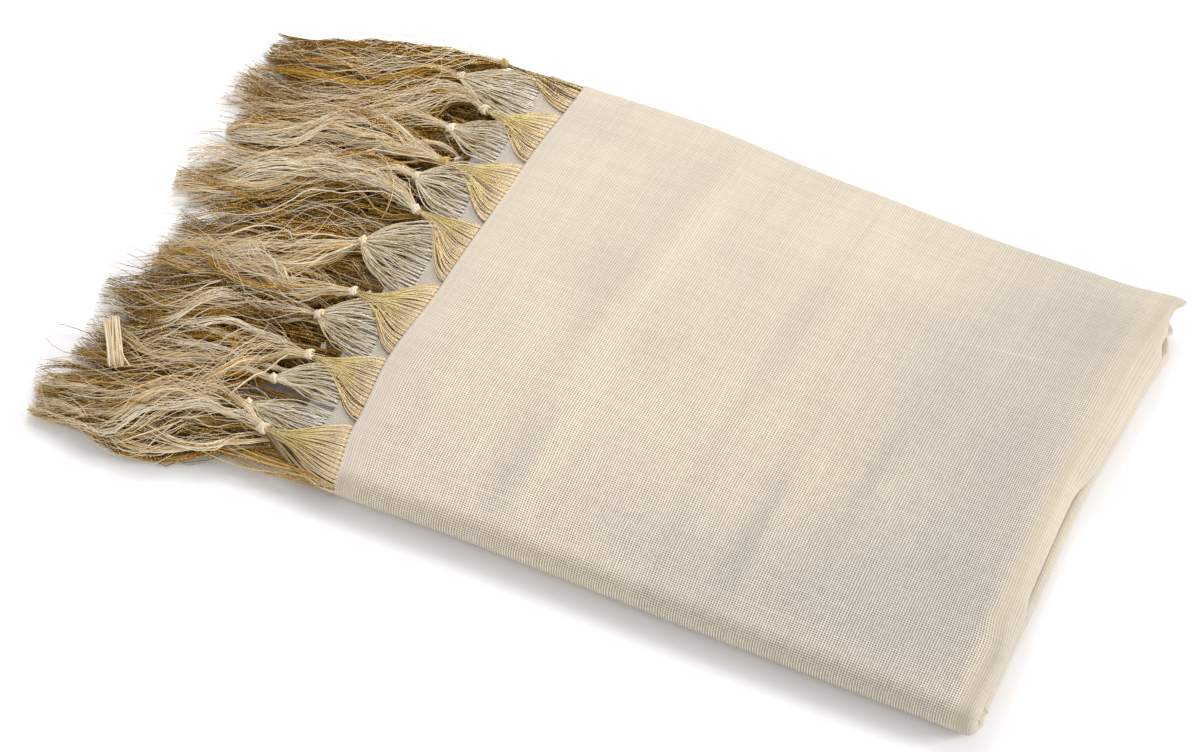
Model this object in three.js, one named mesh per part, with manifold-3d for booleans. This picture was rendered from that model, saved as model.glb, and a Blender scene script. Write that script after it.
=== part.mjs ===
// A dupatta folded flat into a packet, with the knotted fringe of both its ends lying out at one end.
// Millimetres, +Z up. The origin is the middle of the flat underside; +X points to the folded end,
// -X to the fringe, and -Y to the long rounded fold.
import * as THREE from "three";
import { mergeVertices } from "three/addons/utils/BufferGeometryUtils.js";
import Module from "manifold-3d";

const wasm = await Module();
wasm.setup();
const { clamp, degToRad, lerp, smoothstep } = THREE.MathUtils;

// ---- Driving sizes ----
const CLOTH_LENGTH = 2250;
const CLOTH_WIDTH = 950;
const LAYERS_IN_LENGTH = 8;
const LAYERS_IN_WIDTH = 4;
const PACKET_LENGTH = CLOTH_LENGTH / LAYERS_IN_LENGTH;
const PACKET_WIDTH = CLOTH_WIDTH / LAYERS_IN_WIDTH;
const PACKET_HEIGHT = 17;
const WALL = 1.2;
const SEAM_GAP = 0.3;
const EDGE_GAP = 0.6; // from an uneven edge to what hangs from it
const SLACK = 0.65; // room between the outer layer and the layers inside it

const HALF_LENGTH = PACKET_LENGTH / 2;
const HALF_WIDTH = PACKET_WIDTH / 2;
const MIDDLE = PACKET_HEIGHT / 2; // the plane where the upper and the lower half of the packet meet
const CURL_RADIUS = MIDDLE / 2; // each half ends at +X in a rounded fold of its own
const CURL_CENTRE_X = HALF_LENGTH - CURL_RADIUS;
const CURL_END = degToRad(150);
const FRONT_AXIS_Y = -HALF_WIDTH + MIDDLE; // axis of the long rounded fold
const TOP_RUN = PACKET_WIDTH - MIDDLE;
const FRONT_RUN = Math.PI * MIDDLE;
const FULL_RUN = 2 * TOP_RUN + FRONT_RUN;

// How far each edge of the packet stands out of its plain rectangle.
const LEFT_EDGE = [
  { at: -117, out: 0 },
  { at: -90, out: 4.5 },
  { at: -52, out: 8 },
  { at: -8, out: 5.5 },
  { at: 64, out: 3.5 },
  { at: 119, out: 0 },
];
const RIGHT_EDGE = [
  { at: -117, out: -1.5 },
  { at: -60, out: -2.5 },
  { at: 8, out: -4 },
  { at: 60, out: -2 },
  { at: 117, out: 1 },
];
const BACK_EDGE = [
  { at: -141, out: 0.5 },
  { at: -86, out: 2 },
  { at: -7, out: -2.5 },
  { at: 58, out: -5 },
  { at: 110, out: -4 },
  { at: 141, out: -1 },
];
const FRONT_EDGE = [
  { at: -141, out: 0.3 },
  { at: -66, out: -1.8 },
  { at: 22, out: -1.6 },
  { at: 138, out: -2 },
];

// Soft folds that cross the top: a centre line, the rise at its middle, and the half width.
const SOFT_FOLDS = [
  { x0: -70, y0: 84, x1: -82, y1: -92, rise: -0.75, width: 17 },
  { x0: -38, y0: 92, x1: -60, y1: -96, rise: 0.55, width: 15 },
  { x0: 6, y0: 78, x1: -18, y1: -60, rise: -0.4, width: 20 },
  { x0: 62, y0: 70, x1: 40, y1: -80, rise: 0.35, width: 24 },
  { x0: 104, y0: 60, x1: 98, y1: -70, rise: -0.45, width: 18 },
];
const TOP_FADE = 16; // the folds die out over this distance from the edges

// ---- The layers inside ----
const RIDGES = 7; // pairs of layers that show at the open edges
const RIDGE_DEPTH = 0.9;
const RIDGE_SHAPE = [0, 0.28, 0.72]; // a groove, then the two shoulders of a pair, as shares of its height
const INNER_DEPTH = WALL + SLACK;
const INNER_LEFT_X = -HALF_LENGTH + 1.5;
const INNER_BACK_Y = HALF_WIDTH - 1;
const FLAT_SHARE = 0.965; // share of the packet's width before the long rounded fold begins

// ---- The far end of the cloth, which shows beyond the top layer ----
const FAR_EDGE_X = -157;
const FAR_EDGE_DEPTH = WALL + SEAM_GAP;
const FAR_EDGE_WALL = 1;
const FAR_EDGE_RUN = TOP_RUN + 0.8 * FRONT_RUN;

// ---- Fringe ----
const HEADING_WIDTH = 1.8;
const ROOT_IN_HEADING = 0.4 * HEADING_WIDTH;
const THREAD_WIDTH = 1.7;
const THREAD_THICK = 0.9;
const KNOT = { long: 2.7, wide: 2.2, tall: 2.1 };
const LOCK_HEIGHT = 1.5;
const LOCK_WIDTH = 3.5;
const LOCK_WANDER = 0.55; // how far a lock strays to either side of its own line
const TIP_SCATTER = 9; // the outer locks of a tail stop up to twice this short of its reach
const LANE_RUN = { from: 2, to: 32 }; // distance beyond the knot over which a tail swings into its lane
const FLOOR_CLEARANCE = 0.45;

// A lock from its knot to its tip: the share of its length, and its width there.
const LOCK_SHAPE = [
  { share: 0.1, width: 0.43 * LOCK_WIDTH },
  { share: 0.22, width: LOCK_WIDTH },
  { share: 0.4, width: LOCK_WIDTH },
  { share: 0.6, width: 0.95 * LOCK_WIDTH },
  { share: 0.8, width: 0.75 * LOCK_WIDTH },
  { share: 1, width: 0 },
];
const OPEN_SHARE = 0.24; // a tail has its full spread from here on
const FALL_SHARE = 0.16; // and lies on its own level from here on

// All the tails drift towards -Y as they run out.
const DRIFT = [
  { at: -290, out: -31 },
  { at: -250, out: -19 },
  { at: -225, out: -8 },
  { at: -200, out: -1 },
  { at: -180, out: 0 },
];

// Heights of the two levels of locks in a tail, by x: over the lower fringe, then down to the surface.
const UPPER_TAIL = [
  { at: -295, high: 2.2, low: 1.6 },
  { at: -280, high: 4.6, low: 2.2 },
  { at: -262, high: 9.2, low: 6.6 },
  { at: -235, high: 10.6, low: 7.6 },
  { at: -205, high: 11.4, low: 8 },
  { at: -190, high: 12, low: 8.6 },
];
const LOWER_TAIL = [
  { at: -262, high: 3.2, low: 1.4 },
  { at: -180, high: 4, low: 1.5 },
];

// Each tassel gathers the stretch of its edge from `from` to `to` (distance round the packet from the
// back corner) into a knot, and its tail runs down a lane to `reach`.
const GOLD_TASSELS = [
  { from: 1, to: 18, knotX: -179, knotY: 117.5, lane: 117, reach: -285, threads: 5 },
  { from: 20, to: 51, knotX: -175, knotY: 89, lane: 84, reach: -291, threads: 8 },
  { from: 53, to: 89, knotX: -177, knotY: 54.6, lane: 48.5, reach: -274, threads: 8 },
  { from: 91, to: 126, knotX: -176, knotY: 24.8, lane: 13, reach: -279, threads: 8 },
  { from: 128, to: 170, knotX: -179, knotY: -27, lane: -22.5, reach: -264, threads: 8 },
  { from: 172, to: 207, knotX: -180, knotY: -65, lane: -58, reach: -279, threads: 8 },
  { from: 209, to: 243, knotX: -179, knotY: -107, lane: -115, reach: -277, threads: 8 },
];
const CREAM_TASSELS = [
  { from: 3, to: 31, knotX: -194, knotY: 101, lane: 100.5, reach: -284, threads: 7 },
  { from: 33, to: 58, knotX: -184, knotY: 74.5, lane: 66.5, reach: -277, threads: 7 },
  { from: 60, to: 94, knotX: -185, knotY: 43.5, lane: 31, reach: -286, threads: 7 },
  { from: 96, to: 140, knotX: -189, knotY: 0.8, lane: -4.5, reach: -270, threads: 7 },
  { from: 142, to: 178, knotX: -187, knotY: -43, lane: -40, reach: -281, threads: 7 },
  { from: 180, to: 204, knotX: -188, knotY: -81, lane: -75.5, reach: -270, threads: 7 },
  { from: 206, to: 228, knotX: -191, knotY: -97, lane: -94.5, reach: -282, threads: 7 },
];
const LOWER_COUNT = 7;
const LOWER_SPACING = 1.2; // bare edge between two lower tassels
const LOWER_KNOT_X = [-182, -186]; // in turn along the edge
const LOWER_REACH = -255;
const LOWER_REACH_SCATTER = 5;

// ---- Small helpers ----

/** Value of one column of a table at a place, eased smoothly from row to row. */
function read(table, at, column = "out") {
  if (at <= table[0].at) return table[0][column];
  const last = table[table.length - 1];
  if (at >= last.at) return last[column];
  const next = table.findIndex((row) => row.at > at);
  const a = table[next - 1];
  const b = table[next];
  const t = smoothstep(at, a.at, b.at);
  return lerp(a[column], b[column], t);
}

/** A repeatable number from -1 to 1 for a whole-number seed. */
function scatter(seed) {
  const wave = Math.sin(seed * 12.9898 + 4.1) * 43758.5453;
  return 2 * (wave - Math.floor(wave)) - 1;
}

/** Closed geometry from corner points and triangles, with its faces turned outwards. */
function solidGeometry(points, triangles) {
  let volume = 0;
  for (const [a, b, c] of triangles) {
    volume += points[a].dot(points[b].clone().cross(points[c]));
  }
  const index = triangles.flatMap(([a, b, c]) => (volume < 0 ? [a, c, b] : [a, b, c]));
  const geometry = new THREE.BufferGeometry();
  geometry.setAttribute(
    "position",
    new THREE.Float32BufferAttribute(points.flatMap((p) => p.toArray()), 3),
  );
  geometry.setIndex(index);
  return geometry;
}

/** A sheet with thickness: two grids of points, joined round their border. */
function sheetGeometry(face, back) {
  const rows = face.length;
  const columns = face[0].length;
  const points = [...face.flat(), ...back.flat()];
  const front = (i, j) => i * columns + j;
  const rear = (i, j) => rows * columns + i * columns + j;
  const triangles = [];
  const quad = (a, b, c, d) => triangles.push([a, b, c], [a, c, d]);
  for (let i = 0; i + 1 < rows; i++) {
    for (let j = 0; j + 1 < columns; j++) {
      quad(front(i, j), front(i, j + 1), front(i + 1, j + 1), front(i + 1, j));
      quad(rear(i, j), rear(i + 1, j), rear(i + 1, j + 1), rear(i, j + 1));
    }
    quad(front(i, 0), front(i + 1, 0), rear(i + 1, 0), rear(i, 0));
    const j = columns - 1;
    quad(front(i, j), rear(i, j), rear(i + 1, j), front(i + 1, j));
  }
  for (let j = 0; j + 1 < columns; j++) {
    quad(front(0, j), rear(0, j), rear(0, j + 1), front(0, j + 1));
    const i = rows - 1;
    quad(front(i, j), front(i, j + 1), rear(i, j + 1), rear(i, j));
  }
  return solidGeometry(points, triangles);
}

/**
 * A closed three-sided strand through rings of three points. It is drawn to a point at its tip, and
 * at its start too where a start is given.
 */
function strandGeometry(rings, tip, start) {
  const points = [...rings.flat(), tip];
  const triangles = [];
  const sides = [
    [0, 1],
    [1, 2],
    [2, 0],
  ];
  for (let i = 0; i + 1 < rings.length; i++) {
    for (const [j, k] of sides) {
      triangles.push([3 * i + j, 3 * i + k, 3 * i + 3 + k]);
      triangles.push([3 * i + j, 3 * i + 3 + k, 3 * i + 3 + j]);
    }
  }
  const last = 3 * (rings.length - 1);
  const tipIndex = points.length - 1;
  for (const [j, k] of sides) triangles.push([last + j, last + k, tipIndex]);
  if (start) {
    points.push(start);
    for (const [j, k] of sides) triangles.push([k, j, tipIndex + 1]);
  } else {
    triangles.push([0, 2, 1]);
  }
  return solidGeometry(points, triangles);
}

/** The geometry as a manifold solid. */
function solid(geometry) {
  const bare = geometry.clone();
  bare.deleteAttribute("normal");
  bare.deleteAttribute("uv");
  const merged = mergeVertices(bare, 1e-4);
  return new wasm.Manifold(
    new wasm.Mesh({
      numProp: 3,
      vertProperties: new Float32Array(merged.attributes.position.array),
      triVerts: new Uint32Array(merged.index.array),
    }),
  );
}

/** Several solids joined into one geometry, with slivers under a hundredth of a millimetre removed. */
function joined(geometries) {
  const sum = geometries.map(solid).reduce((a, b) => a.add(b));
  const mesh = sum.simplify(0.01).getMesh();
  const geometry = new THREE.BufferGeometry();
  geometry.setAttribute("position", new THREE.BufferAttribute(mesh.vertProperties, 3));
  geometry.setIndex(new THREE.BufferAttribute(mesh.triVerts, 1));
  return geometry;
}

// ---- The form of the packet ----

/** Height of the soft folds at a place on the top. */
function topWave(x, y) {
  let rise = 0;
  for (const fold of SOFT_FOLDS) {
    const along = clamp((y - fold.y0) / (fold.y1 - fold.y0), 0, 1);
    const centre = lerp(fold.x0, fold.x1, along);
    const reach = Math.max(0, (y - fold.y0) / 30, (fold.y1 - y) / 30);
    const across = (x - centre) / fold.width;
    rise += fold.rise * Math.exp(-across * across - reach * reach);
  }
  const inset = Math.min(x + HALF_LENGTH, CURL_CENTRE_X - x, HALF_WIDTH - y, y - FRONT_AXIS_Y);
  return rise * smoothstep(inset, 0, TOP_FADE);
}

/** Moves a point of the plain rectangular packet to the packet's own uneven outline. */
function settle(x, y, z, depth) {
  const u = clamp((x + HALF_LENGTH) / PACKET_LENGTH, 0, 1);
  const v = clamp((y + HALF_WIDTH) / PACKET_WIDTH, 0, 1);
  const raised = Math.max(0, (z - MIDDLE) / (MIDDLE - depth));
  return new THREE.Vector3(
    x - read(LEFT_EDGE, y) * (1 - u) + read(RIGHT_EDGE, y) * u,
    y + read(BACK_EDGE, x) * v - read(FRONT_EDGE, x) * (1 - v),
    z + topWave(x, y) * raised,
  );
}

/**
 * A point of a layer that wraps the packet: `x` along it, `curl` the angle turned round the folded
 * end, `around` the distance from the back corner over the top, the long fold and the underside, and
 * `depth` under the packet's face.
 */
function wrapped(x, curl, around, depth) {
  const bend = CURL_RADIUS - depth;
  const half = MIDDLE - CURL_RADIUS + bend * Math.cos(curl);
  const placeX = x + bend * Math.sin(curl);
  if (around <= TOP_RUN) return settle(placeX, HALF_WIDTH - around, MIDDLE + half, depth);
  if (around >= TOP_RUN + FRONT_RUN) {
    const y = FRONT_AXIS_Y + around - TOP_RUN - FRONT_RUN;
    return settle(placeX, y, MIDDLE - half, depth);
  }
  const turn = (around - TOP_RUN) / MIDDLE;
  const y = FRONT_AXIS_Y - half * Math.sin(turn);
  return settle(placeX, y, MIDDLE + half * Math.cos(turn), depth);
}

/** Evenly spaced values from a to b, both included. */
function steps(a, b, count) {
  return Array.from({ length: count + 1 }, (_, i) => a + ((b - a) * i) / count);
}

/** The outermost layer: over the top, round the long fold and under, and curled in at the folded end. */
function outerLayer() {
  const flat = [0, 8, ...steps(24, HALF_LENGTH + CURL_CENTRE_X - 8, 11)];
  const rows = [
    ...flat.map((run) => ({ x: run - HALF_LENGTH, curl: 0 })),
    ...steps(0, CURL_END, 6).map((curl) => ({ x: CURL_CENTRE_X, curl })),
  ];
  const columns = [
    0,
    6,
    ...steps(18, TOP_RUN, 10),
    ...steps(TOP_RUN, TOP_RUN + FRONT_RUN, 8).slice(1),
    ...steps(TOP_RUN + FRONT_RUN, FULL_RUN, 8).slice(1),
  ];
  const grid = (depth) =>
    rows.map((row) => columns.map((around) => wrapped(row.x, row.curl, around, depth)));
  return sheetGeometry(grid(0), grid(WALL));
}

/** Heights of the rows of the inner layers, with a groove at every third one. */
function layerRows() {
  const bottom = INNER_DEPTH;
  const pitch = (PACKET_HEIGHT - 2 * INNER_DEPTH) / RIDGES;
  const rows = [];
  for (let ridge = 0; ridge < RIDGES; ridge++) {
    RIDGE_SHAPE.forEach((share, step) =>
      rows.push({ z: bottom + pitch * (ridge + share), inset: step === 0 ? RIDGE_DEPTH : 0 }),
    );
  }
  rows.push({ z: PACKET_HEIGHT - INNER_DEPTH, inset: RIDGE_DEPTH });
  return rows;
}

/** How far the folded edges inside each curl reach past its centre at a height. */
function lobe(z) {
  const radius = CURL_RADIUS - INNER_DEPTH;
  const fromCentre = Math.abs(Math.abs(z - MIDDLE) - CURL_RADIUS);
  return Math.sqrt(Math.max(0, radius * radius - fromCentre * fromCentre));
}

/** The hidden layers: one body with a rounded long side, and stacked edges at the back and left. */
function innerLayers() {
  const rows = layerRows();
  const across = [0, 0.012, ...steps(0.1, FLAT_SHARE, 7), 1];
  const radius = MIDDLE - INNER_DEPTH;
  const place = (x, row, share) => {
    const fromMiddle = Math.min(radius, Math.abs(row.z - MIDDLE));
    const front = FRONT_AXIS_Y - Math.sqrt(radius * radius - fromMiddle * fromMiddle);
    const back = INNER_BACK_Y - row.inset;
    return settle(x, lerp(back, front, share), row.z, INNER_DEPTH);
  };
  const lastRow = rows.length - 1;
  const lastColumn = across.length - 1;
  const sections = [...steps(INNER_LEFT_X, CURL_CENTRE_X - 4, 10), CURL_CENTRE_X];
  const points = [];
  const triangles = [];
  const quad = (a, b, c, d) => triangles.push([a, b, c], [a, c, d]);

  // Borders of the section grid, in order round it.
  const border = [];
  for (let j = 0; j < lastColumn; j++) border.push([lastRow, j]);
  for (let i = lastRow; i > 0; i--) border.push([i, lastColumn]);
  for (let j = lastColumn; j > 0; j--) border.push([0, j]);
  for (let i = 0; i < lastRow; i++) border.push([i, 0]);

  sections.forEach((x) => {
    border.forEach(([i, j]) => points.push(place(x, rows[i], across[j])));
  });
  const size = border.length;
  for (let s = 0; s + 1 < sections.length; s++) {
    for (let b = 0; b < size; b++) {
      const c = (b + 1) % size;
      quad(s * size + b, s * size + c, (s + 1) * size + c, (s + 1) * size + b);
    }
  }

  // Each end is a grid that shares the border of its section and is stepped like the layers.
  const cap = (section, x, shift, flip) => {
    const number = new Map(border.map(([i, j], b) => [i + "," + j, section * size + b]));
    for (let i = 1; i < lastRow; i++) {
      for (let j = 1; j < lastColumn; j++) {
        const point = place(x, rows[i], across[j]);
        point.x += shift(rows[i], across[j]);
        number.set(i + "," + j, points.length);
        points.push(point);
      }
    }
    const at = (i, j) => number.get(i + "," + j);
    for (let i = 0; i < lastRow; i++) {
      for (let j = 0; j < lastColumn; j++) {
        if (flip) quad(at(i, j), at(i + 1, j), at(i + 1, j + 1), at(i, j + 1));
        else quad(at(i, j), at(i, j + 1), at(i + 1, j + 1), at(i + 1, j));
      }
    }
  };
  const lastSection = sections.length - 1;
  cap(0, INNER_LEFT_X, (row) => row.inset - RIDGE_DEPTH, false);
  cap(lastSection, CURL_CENTRE_X, (row, share) => (share > FLAT_SHARE ? 0 : lobe(row.z)), true);
  return solidGeometry(points, triangles);
}

/** The strip of the cloth's far end that reaches past the top layer, round the long fold. */
function farEndEdge() {
  const columns = [
    0,
    ...steps(16, TOP_RUN, 8),
    ...steps(TOP_RUN, FAR_EDGE_RUN, 7).slice(1),
  ];
  const root = INNER_LEFT_X - RIDGE_DEPTH - EDGE_GAP;
  const shares = [0, 0.5, 1];
  const grid = (depth) =>
    shares.map((share) =>
      columns.map((around) => {
        const point = wrapped(root, 0, around, depth);
        point.x = lerp(point.x, FAR_EDGE_X, share);
        return point;
      }),
    );
  return sheetGeometry(grid(FAR_EDGE_DEPTH), grid(FAR_EDGE_DEPTH + FAR_EDGE_WALL));
}

// ---- Fringe ----

/** A point just off the top layer's own edge, `out` beyond it and `depth` under the packet's face. */
function topEdge(around, out, depth) {
  const point = wrapped(-HALF_LENGTH, 0, around, depth);
  point.x -= EDGE_GAP + out;
  return point;
}

/** The same off the edge of the cloth's far end. */
function farEdge(around, out, depth) {
  const point = wrapped(-HALF_LENGTH, 0, around, depth);
  point.x = FAR_EDGE_X - SEAM_GAP - out;
  return point;
}

// The three ranks of tassels. Threads leave the cloth between two depths, run straight out to
// `clearX`, have fallen there by `drop` of the way to the knot, and end in it. Tails have `locks`
// locks within `halfLane` to either side of their lane, on the two levels of `tail`.
const GOLD_RANK = {
  edge: topEdge,
  depths: { upper: 0.2, lower: 1.1 },
  clearX: FAR_EDGE_X - 2.2,
  drop: 0,
  knotZ: 14.2,
  locks: 6,
  halfLane: 6.6,
  tail: UPPER_TAIL,
  seed: 0,
};
const CREAM_RANK = {
  edge: farEdge,
  depths: { upper: FAR_EDGE_DEPTH + 0.05, lower: FAR_EDGE_DEPTH + 0.95 },
  clearX: FAR_EDGE_X - 6,
  drop: 0.4,
  knotZ: 11.8,
  locks: 6,
  halfLane: 6.6,
  tail: UPPER_TAIL,
  seed: 90,
};
const LOWER_RANK = {
  edge: topEdge,
  depths: { upper: 1.15, lower: FLOOR_CLEARANCE },
  knotZ: 2.9,
  locks: 8,
  halfLane: 13.5,
  tail: LOWER_TAIL,
  seed: 200,
};

/** The narrow heading along a stretch of edge that holds the roots of one tassel. */
function heading(rank, from, to) {
  const turns = to > TOP_RUN && from < TOP_RUN + FRONT_RUN;
  const pitch = turns ? 3.2 : 9;
  const runs = steps(from, to, Math.max(2, Math.ceil((to - from) / pitch)));
  const grid = (depth) =>
    [0, HEADING_WIDTH].map((out) => runs.map((around) => rank.edge(around, out, depth)));
  return sheetGeometry(grid(rank.depths.upper), grid(rank.depths.lower));
}

/** One thread of a fan: flat against the cloth, ridged outside, and ending inside the knot. */
function thread(stations, knot) {
  const rings = stations.map(({ point, width, across }) => {
    const side = across.clone().setLength(width / 2);
    const out = new THREE.Vector3(-1, 0, 0).cross(side).setLength(THREAD_THICK / 2);
    return [
      point.clone().add(side).sub(out),
      point.clone().sub(side).sub(out),
      point.clone().add(out),
    ];
  });
  return strandGeometry(rings, knot);
}

const GATHER_LEFT = 0.3; // share of a thread's way across to its knot that is left at each station
const WAIST = 0.42; // the second station, as a share of the way back from the knot to the first

/** The threads that gather one stretch of edge into its knot. */
function fan(rank, tassel, knot) {
  const middleDepth = (rank.depths.upper + rank.depths.lower) / 2;
  const level = new THREE.Vector3(0, -1, 0);
  const threads = [];
  for (let k = 0; k < tassel.threads; k++) {
    const around = lerp(tassel.from, tassel.to, (k + 0.5) / tassel.threads);
    const root = rank.edge(around, ROOT_IN_HEADING, middleDepth);
    const neighbour = rank.edge(around + 0.5, ROOT_IN_HEADING, middleDepth);
    const across = neighbour.sub(root).setX(0);
    const clear = root.clone().setX(rank.clearX);
    if (around < TOP_RUN - 1) clear.y = lerp(root.y, knot.y, GATHER_LEFT);
    clear.z = lerp(root.z, knot.z, rank.drop);
    const waist = knot.clone().lerp(clear, WAIST);
    waist.y = lerp(knot.y, clear.y, GATHER_LEFT);
    const stations = [
      { point: root, width: THREAD_WIDTH, across },
      { point: clear, width: 0.85 * THREAD_WIDTH, across },
      { point: waist, width: 0.5 * THREAD_WIDTH, across: level },
    ];
    threads.push(thread(stations, knot));
  }
  return threads;
}

// A plain web from the edge to the knot: share of the way out, and how far it has gathered there.
const WEB_SHAPE = [
  { share: 0, gather: 0 },
  { share: 0.58, gather: 0.55 },
  { share: 0.83, gather: 0.85 },
  { share: 1, gather: 0.96 },
];
const WEB_AT_KNOT = 0.4; // half its thickness there

/** A plain web of gathered threads, for the fringe underneath. */
function web(rank, tassel, knot) {
  const face = (depth, lift) =>
    WEB_SHAPE.map(({ share, gather }) =>
      steps(tassel.from, tassel.to, 4).map((around) => {
        const root = rank.edge(around, ROOT_IN_HEADING, depth);
        return new THREE.Vector3(
          lerp(root.x, knot.x, share),
          lerp(root.y, knot.y, gather),
          lerp(root.z, knot.z + lift, Math.pow(share, 1.5)),
        );
      }),
    );
  return sheetGeometry(
    face(rank.depths.upper, WEB_AT_KNOT),
    face(rank.depths.lower, -WEB_AT_KNOT),
  );
}

/** The knot that gathers a tassel. */
function knotBall(centre) {
  const ball = new THREE.OctahedronGeometry(1, 1);
  ball.scale(KNOT.long, KNOT.wide, KNOT.tall);
  ball.translate(centre.x, centre.y, centre.z);
  return ball;
}

/** One lock, flat underneath, from its start in the knot through its stations to its tip. */
function lock(stations, start) {
  const rings = stations.slice(0, -1).map(({ point, width }, i) => {
    const before = i ? stations[i - 1].point : start;
    const after = stations[i + 1].point;
    const side = new THREE.Vector3(before.y - after.y, after.x - before.x, 0);
    side.setLength(width / 2);
    const down = new THREE.Vector3(0, 0, -LOCK_HEIGHT / 2);
    return [
      point.clone().add(side).add(down),
      point.clone().sub(side).add(down),
      point.clone().sub(down),
    ];
  });
  return strandGeometry(rings, stations[stations.length - 1].point, start);
}

/** The loose tail beyond a knot: locks on two levels, side by side, down to their tips. */
function tail(rank, tassel, knot, seed) {
  const locks = [];
  const start = knot.clone().setX(knot.x + KNOT.long / 2);
  for (let k = 0; k < rank.locks; k++) {
    const side = (2 * (k + 0.5)) / rank.locks - 1;
    const column = k % 2 ? "high" : "low";
    const short = Math.abs(side) < 0.5 ? 0 : TIP_SCATTER * (1 + scatter(seed + k));
    const length = knot.x - tassel.reach - short;
    const stations = LOCK_SHAPE.map(({ share, width }, i) => {
      const x = knot.x - length * share;
      const inLane = smoothstep(knot.x - x, LANE_RUN.from, LANE_RUN.to);
      const middle = lerp(knot.y, tassel.lane, inLane) + read(DRIFT, x);
      const spread = rank.halfLane * side * smoothstep(share, 0, OPEN_SHARE);
      const wander = i > 0 ? LOCK_WANDER * scatter(seed * 3 + k * 7 + i) : 0;
      const fall = smoothstep(share, 0, FALL_SHARE);
      const z = lerp(knot.z, read(rank.tail, x, column), fall);
      const lowest = FLOOR_CLEARANCE + LOCK_HEIGHT / 2;
      const point = new THREE.Vector3(x, middle + spread + wander, Math.max(z, lowest));
      return { point, width };
    });
    locks.push(lock(stations, start));
  }
  return locks;
}

/** One whole tassel: heading, gathered threads or web, knot and tail, in one body. */
function tasselGeometry(rank, tassel, number) {
  const knot = new THREE.Vector3(tassel.knotX, tassel.knotY, rank.knotZ);
  const gathered = tassel.threads ? fan(rank, tassel, knot) : [web(rank, tassel, knot)];
  return joined([
    heading(rank, tassel.from, tassel.to),
    ...gathered,
    knotBall(knot),
    ...tail(rank, tassel, knot, rank.seed + 11 * number),
  ]);
}

/** The tassels of the lower layers, spaced evenly along the underside's edge. */
function lowerTassels() {
  const start = TOP_RUN + FRONT_RUN;
  const pitch = (FULL_RUN - start) / LOWER_COUNT;
  return Array.from({ length: LOWER_COUNT }, (_, i) => {
    const from = start + pitch * i + LOWER_SPACING / 2;
    const to = from + pitch - LOWER_SPACING;
    const middle = topEdge((from + to) / 2, 0, 0).y;
    const knotX = LOWER_KNOT_X[i % 2];
    const reach = LOWER_REACH - LOWER_REACH_SCATTER * scatter(i + 40);
    return { from, to, knotX, knotY: middle, lane: middle, reach };
  });
}

// ---- The dupatta ----
const cloth = new THREE.MeshStandardMaterial({ color: 0xeee0c9, roughness: 0.82, metalness: 0 });
const hiddenCloth = new THREE.MeshStandardMaterial({ color: 0xe2d3bb, roughness: 0.88, metalness: 0 });
const goldThread = new THREE.MeshStandardMaterial({ color: 0xc9a85c, roughness: 0.45, metalness: 0.2 });
const creamThread = new THREE.MeshStandardMaterial({ color: 0xd8caa8, roughness: 0.7, metalness: 0 });
const lowerThread = new THREE.MeshStandardMaterial({ color: 0xb08d45, roughness: 0.6, metalness: 0.1 });

const dupatta = new THREE.Group();

/** Adds one named piece to the dupatta. */
function add(name, geometry, material) {
  const mesh = new THREE.Mesh(geometry, material);
  mesh.name = name;
  dupatta.add(mesh);
}

add("outer_layer", outerLayer(), cloth);
add("inner_layers", innerLayers(), hiddenCloth);
add("far_end_edge", farEndEdge(), cloth);
const RANKS = [
  { name: "gold_tassel_", rank: GOLD_RANK, tassels: GOLD_TASSELS, material: goldThread },
  { name: "cream_tassel_", rank: CREAM_RANK, tassels: CREAM_TASSELS, material: creamThread },
  { name: "lower_tassel_", rank: LOWER_RANK, tassels: lowerTassels(), material: lowerThread },
];
for (const { name, rank, tassels, material } of RANKS) {
  tassels.forEach((tassel, i) => {
    add(name + (i + 1), tasselGeometry(rank, tassel, i + 1), material);
  });
}

export default dupatta;
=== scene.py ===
"""A dupatta folded flat into a packet, with the knotted fringe of both its ends lying out at one end.

Metres, +Z up. The origin is the middle of the flat underside. +X points to the folded end, -X to the
fringe, and -Y to the long rounded fold.
"""
import logging
import math
from dataclasses import dataclass, replace
from enum import Enum

import bpy
import numpy as np
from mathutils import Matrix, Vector


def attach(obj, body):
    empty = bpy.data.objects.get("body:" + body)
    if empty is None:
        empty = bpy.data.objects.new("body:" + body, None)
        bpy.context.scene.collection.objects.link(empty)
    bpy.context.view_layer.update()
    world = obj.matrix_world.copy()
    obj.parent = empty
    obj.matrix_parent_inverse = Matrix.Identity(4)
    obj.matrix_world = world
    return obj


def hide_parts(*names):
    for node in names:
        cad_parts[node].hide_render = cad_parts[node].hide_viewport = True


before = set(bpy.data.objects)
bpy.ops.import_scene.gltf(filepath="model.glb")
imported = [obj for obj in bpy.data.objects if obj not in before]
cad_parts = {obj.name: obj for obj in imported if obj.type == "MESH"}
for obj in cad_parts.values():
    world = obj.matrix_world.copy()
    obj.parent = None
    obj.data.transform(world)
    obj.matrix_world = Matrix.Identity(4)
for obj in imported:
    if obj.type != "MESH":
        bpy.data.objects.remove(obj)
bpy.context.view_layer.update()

LOG = logging.getLogger("dupatta")
MM = 0.001
Array = np.ndarray
Colour = tuple[float, float, float, float]
Point = tuple[float, float]
Table = tuple[Point, ...]
Stops = tuple[tuple[float, Colour], ...]
Bundle = tuple[Array, Array, Array]  # the paths, radii and tones of some strands


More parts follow.
